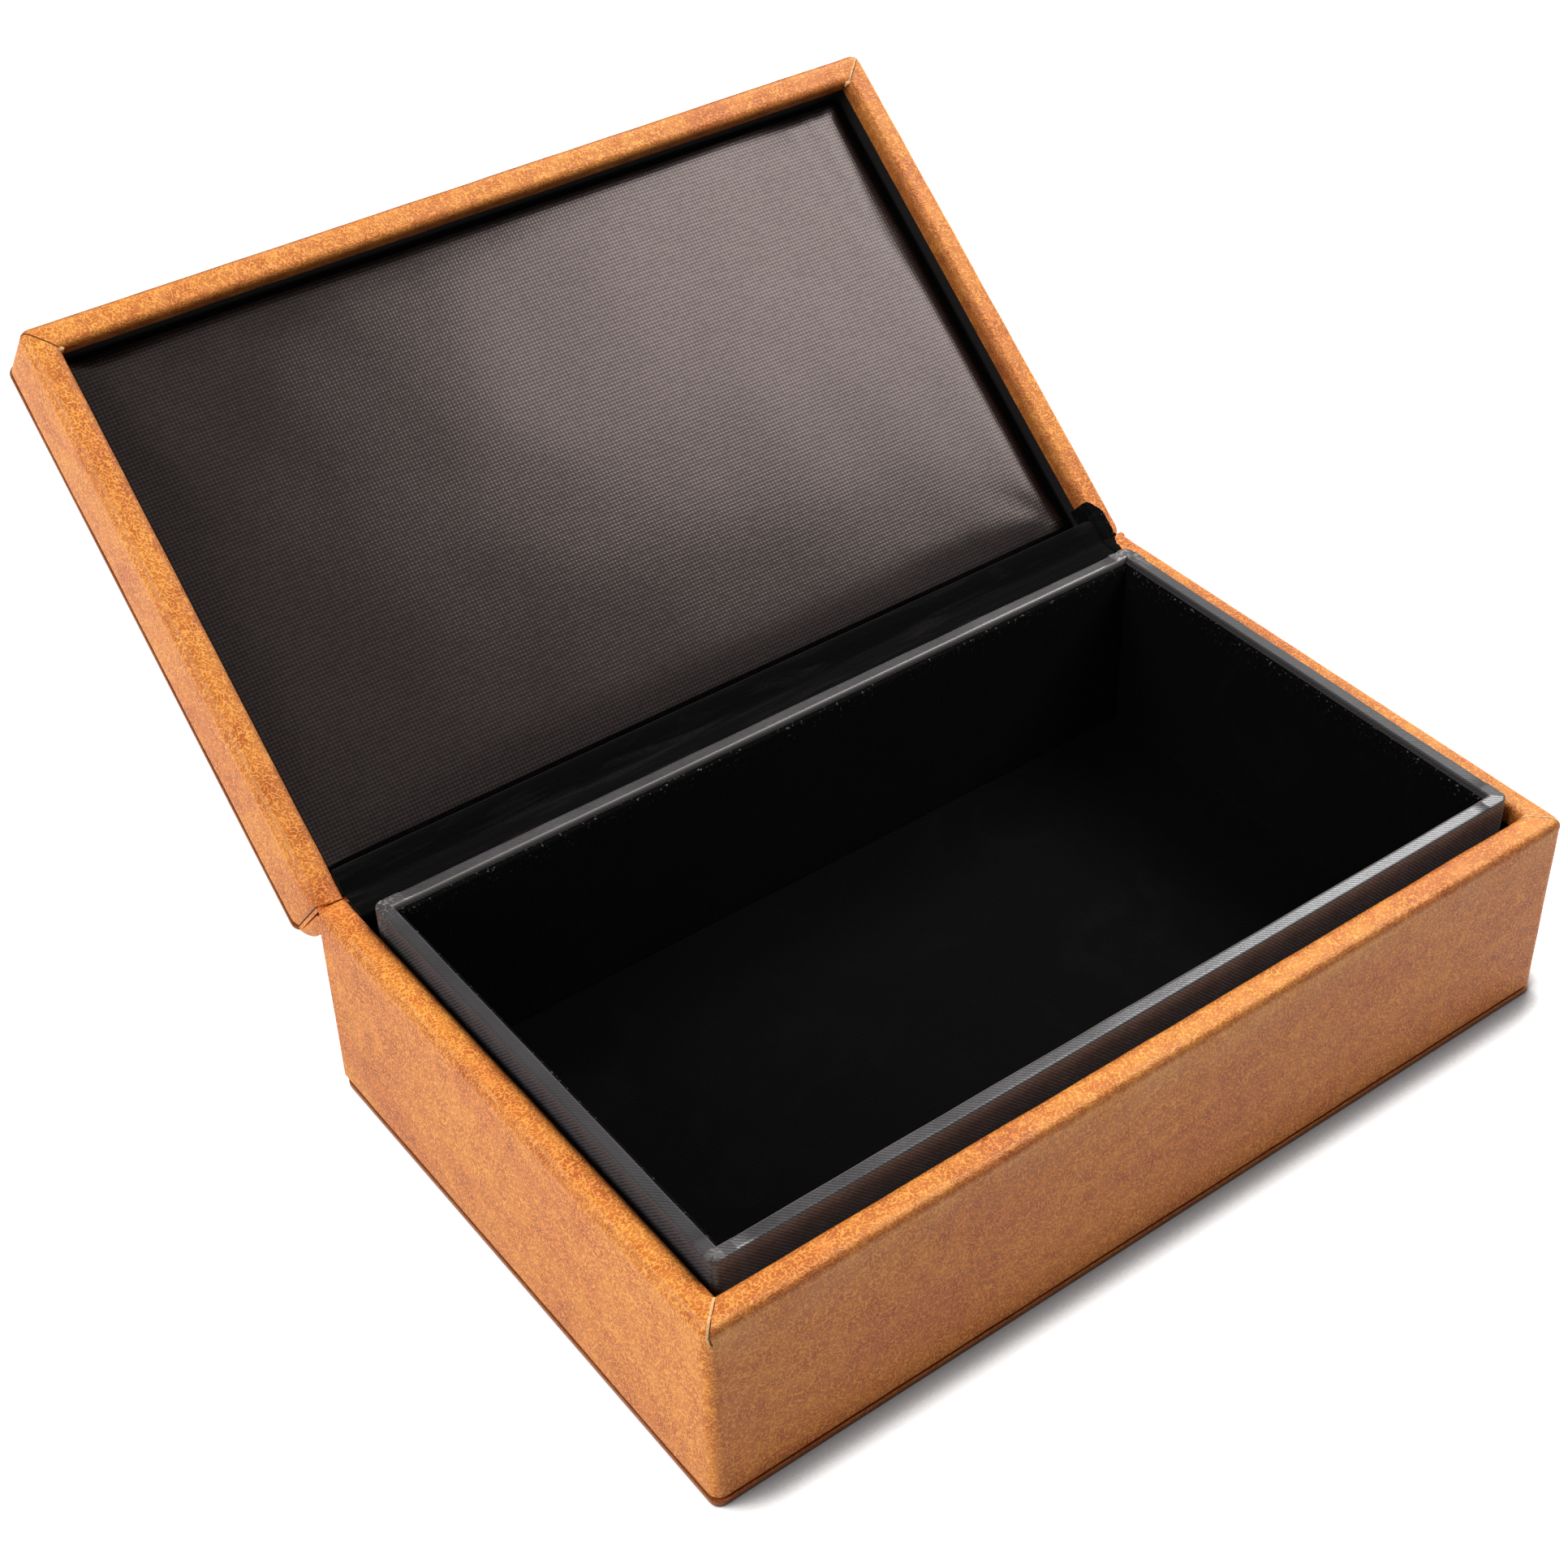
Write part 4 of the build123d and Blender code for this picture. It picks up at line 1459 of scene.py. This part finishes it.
    def spine(self, finish: bpy.types.Material) -> None:
        """The spare leather that folds out behind the hinge, as it bulges with the lid open; the
        real fold lies flat when shut.
        """
        start, stop = Vector((BOX.half_y, self.back_top)), Vector(on_lid(0, self.panel_edge))
        chord = stop - start
        off = Vector((chord.y, -chord.x)).normalized()
        arch = [
            tuple(start.lerp(stop, share) + off * self.bulge * 4 * share * (1 - share))
            for share in (i / 12 for i in range(13))
        ]
        outer = Section(arch, 0.5)
        corners = [(BOX.half_y, BOX.base_height - 2.2), on_lid(0, 2.2)]
        inner = Section([tuple(start), *corners, tuple(stop)], 1.2)
        half = self.fold_half
        work = Workpiece("spine_leather_fold", (-half, 0, 0), (half, 10, 1))
        work.slices(0, between(-half, half, 5)).slices(0, (-half + 0.4, half - 0.4))
        work.slices(1, between(0, 10, 0.5)).slices(2, (0.2, 0.4, 0.6, 0.8))

        def fold(at: Vector) -> Vector:
            share = at.y / 10
            depth = 0.12 + 0.88 * at.z
            near, far = inner.at(share * inner.length)[0], outer.at(share * outer.length)[0]
            place = near.lerp(far, depth)
            end = 0.7 * math.sin(math.pi * share) * (1 - (2 * at.z - 1) ** 2)
            end = end if abs(at.x) > 109 else 0
            return Vector((math.copysign(end, at.x), place.x - at.y, place.y - at.z))

        work.move(fold).face_out().dent(0.08, 9)
        piece = fit(work.finish(50), "lid", Slot.LEATHER, finish, "spine_leather")
        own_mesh(piece)

    def build(
        self, velvet: bpy.types.Material, leather: bpy.types.Material, cut: bpy.types.Material
    ) -> None:
        """Build all its pieces."""
        self.velvet_flap(velvet)
        self.flap_end(velvet)
        self.flap_corner(velvet)
        self.end_tab(leather, cut)
        self.back_strip(leather)
        self.base_back(leather)
        self.spine(leather)


# ============================ inside ============================
@dataclass
class Core:
    """The boards, cards and papers under the covers, and the shielding cloth below the velvet."""

    walls: tuple[str, ...] = ("front", "back", "left", "right")

    @property
    def stock(self) -> dict[str, list[str]]:
        """The nodes that each kind of stock is cut for."""
        parts = ("base", "collar", "lid")
        boards = [f"{part}_{wall}_board" for part in parts for wall in self.walls]
        return {
            "board": ["base_floor_board", "lid_panel_board", *boards],
            "card": ["base_bottom_card", "lid_top_card", "lid_pad_card"],
            "paper": ["lid_lining"],
        }

    def shield_sheet(self, finish: bpy.types.Material) -> None:
        """The shielding cloth laid on the floor board."""
        clear = BOX.collar_wall + 0.2
        x, y = BOX.collar_x - clear, BOX.collar_y - clear
        work = Workpiece("floor_shield_sheet", (-x, -y, 4.72), (x, y, 5.0))
        work.grid(x, y, 0, 6).move(lambda at: Vector((0, 0, 0.02 * noise.noise(at / 9))))
        piece = fit(work.finish(50), "base", Slot.CLOTH, finish, "floor_shield_cloth")

    def build(self, finishes: dict[str, bpy.types.Material], cloth: bpy.types.Material) -> None:
        """Give each board, card and paper its finish, and lay the cloth."""
        for kind, nodes in self.stock.items():
            for node in nodes:
                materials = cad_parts[node].data.materials
                materials.clear()
                materials.append(finishes[kind])
            log.info("%s: %d pieces", kind, len(nodes))
        self.shield_sheet(cloth)


def main() -> None:
    """Build the dressed box, piece by piece."""
    logging.basicConfig(level=logging.INFO, format="%(name)s: %(message)s")
    Studio().build()
    edged = Leather().make()
    plain = Leather(name="pressed_imitation_leather_flat", edged=False).make()
    cut = CutEdge().make()
    # the cut edge's finish in dark browns, laid as painted shade in the seams' gaps and creases
    shade = CutEdge("shaded_gap_in_imitation_leather", ("#7A4320", "#54290F")).make()
    # both weaves are drawn coarser than real cloth, so that their threads can be seen
    # the collar's light thread colour shows only on its front sides, as a painted reflection
    collar_cloth = Weave(
        "twill_woven_metallised_cloth", "#847E80", "#504C4E",
        pitch=0.65, roughness=0.25, specular=0.46, relief=0.01, matt=0.06, dull=0.3,
        diagonal=True, worn="#C4BCB6", top=("#1E1A1B", "#1C1819"),
    ).make()
    satin = Weave(
        "plain_woven_charcoal_satin", "#1A1618", "#020202",
        pitch=0.85, roughness=0.2, specular=0.42, relief=0.01, matt=0.03, dull=0.4,
        across=0.8, tilt=BOX.open_angle, tint="#FFE4DE",
    ).make()
    velvet = Velvet().make()
    brushed = Velvet(
        "crushed_black_cut_pile_velvet", ("#030303", "#2C2927"), stretch=0.12, patch=3.5
    ).make()
    Tray("base", "base", BOX.base_height, lap=0.12).build(edged, plain, "base_bottom_leather")
    lid = Tray("lid", "lid", BOX.lid_height, open_lid(), end_round=3.0)
    lid.build(edged, plain, "lid_top_leather")
    for seam in (
        MitreSeam("base_seam_left", "base", BOX.base_height, -1, SeamKind.CUT),
        MitreSeam("base_seam_right", "base", BOX.base_height, 1, SeamKind.CUT),
        MitreSeam("lid_seam_left", "lid", BOX.lid_height, -1, SeamKind.CREASE, open_lid()),
        MitreSeam("lid_seam_right", "lid", BOX.lid_height, 1, SeamKind.CUT, open_lid()),
    ):
        seam.build(cut, shade)
    Collar().build(collar_cloth)
    VelvetLining().build(velvet)
    LidPad().build(satin)
    Hinge().build(brushed, plain, cut)
    stock = {
        "board": Sheetstock("dyed_black_greyboard", ("#16120F", "#2A2420")).make(),
        "card": Sheetstock("dyed_black_card", ("#14110F", "#221D1A"), 0.6).make(),
        "paper": Sheetstock("black_lining_paper", ("#0D0B0B", "#1A1716"), 0.7).make(),
    }
    Core().build(stock, collar_cloth)


if __name__ == "__main__":
    main()
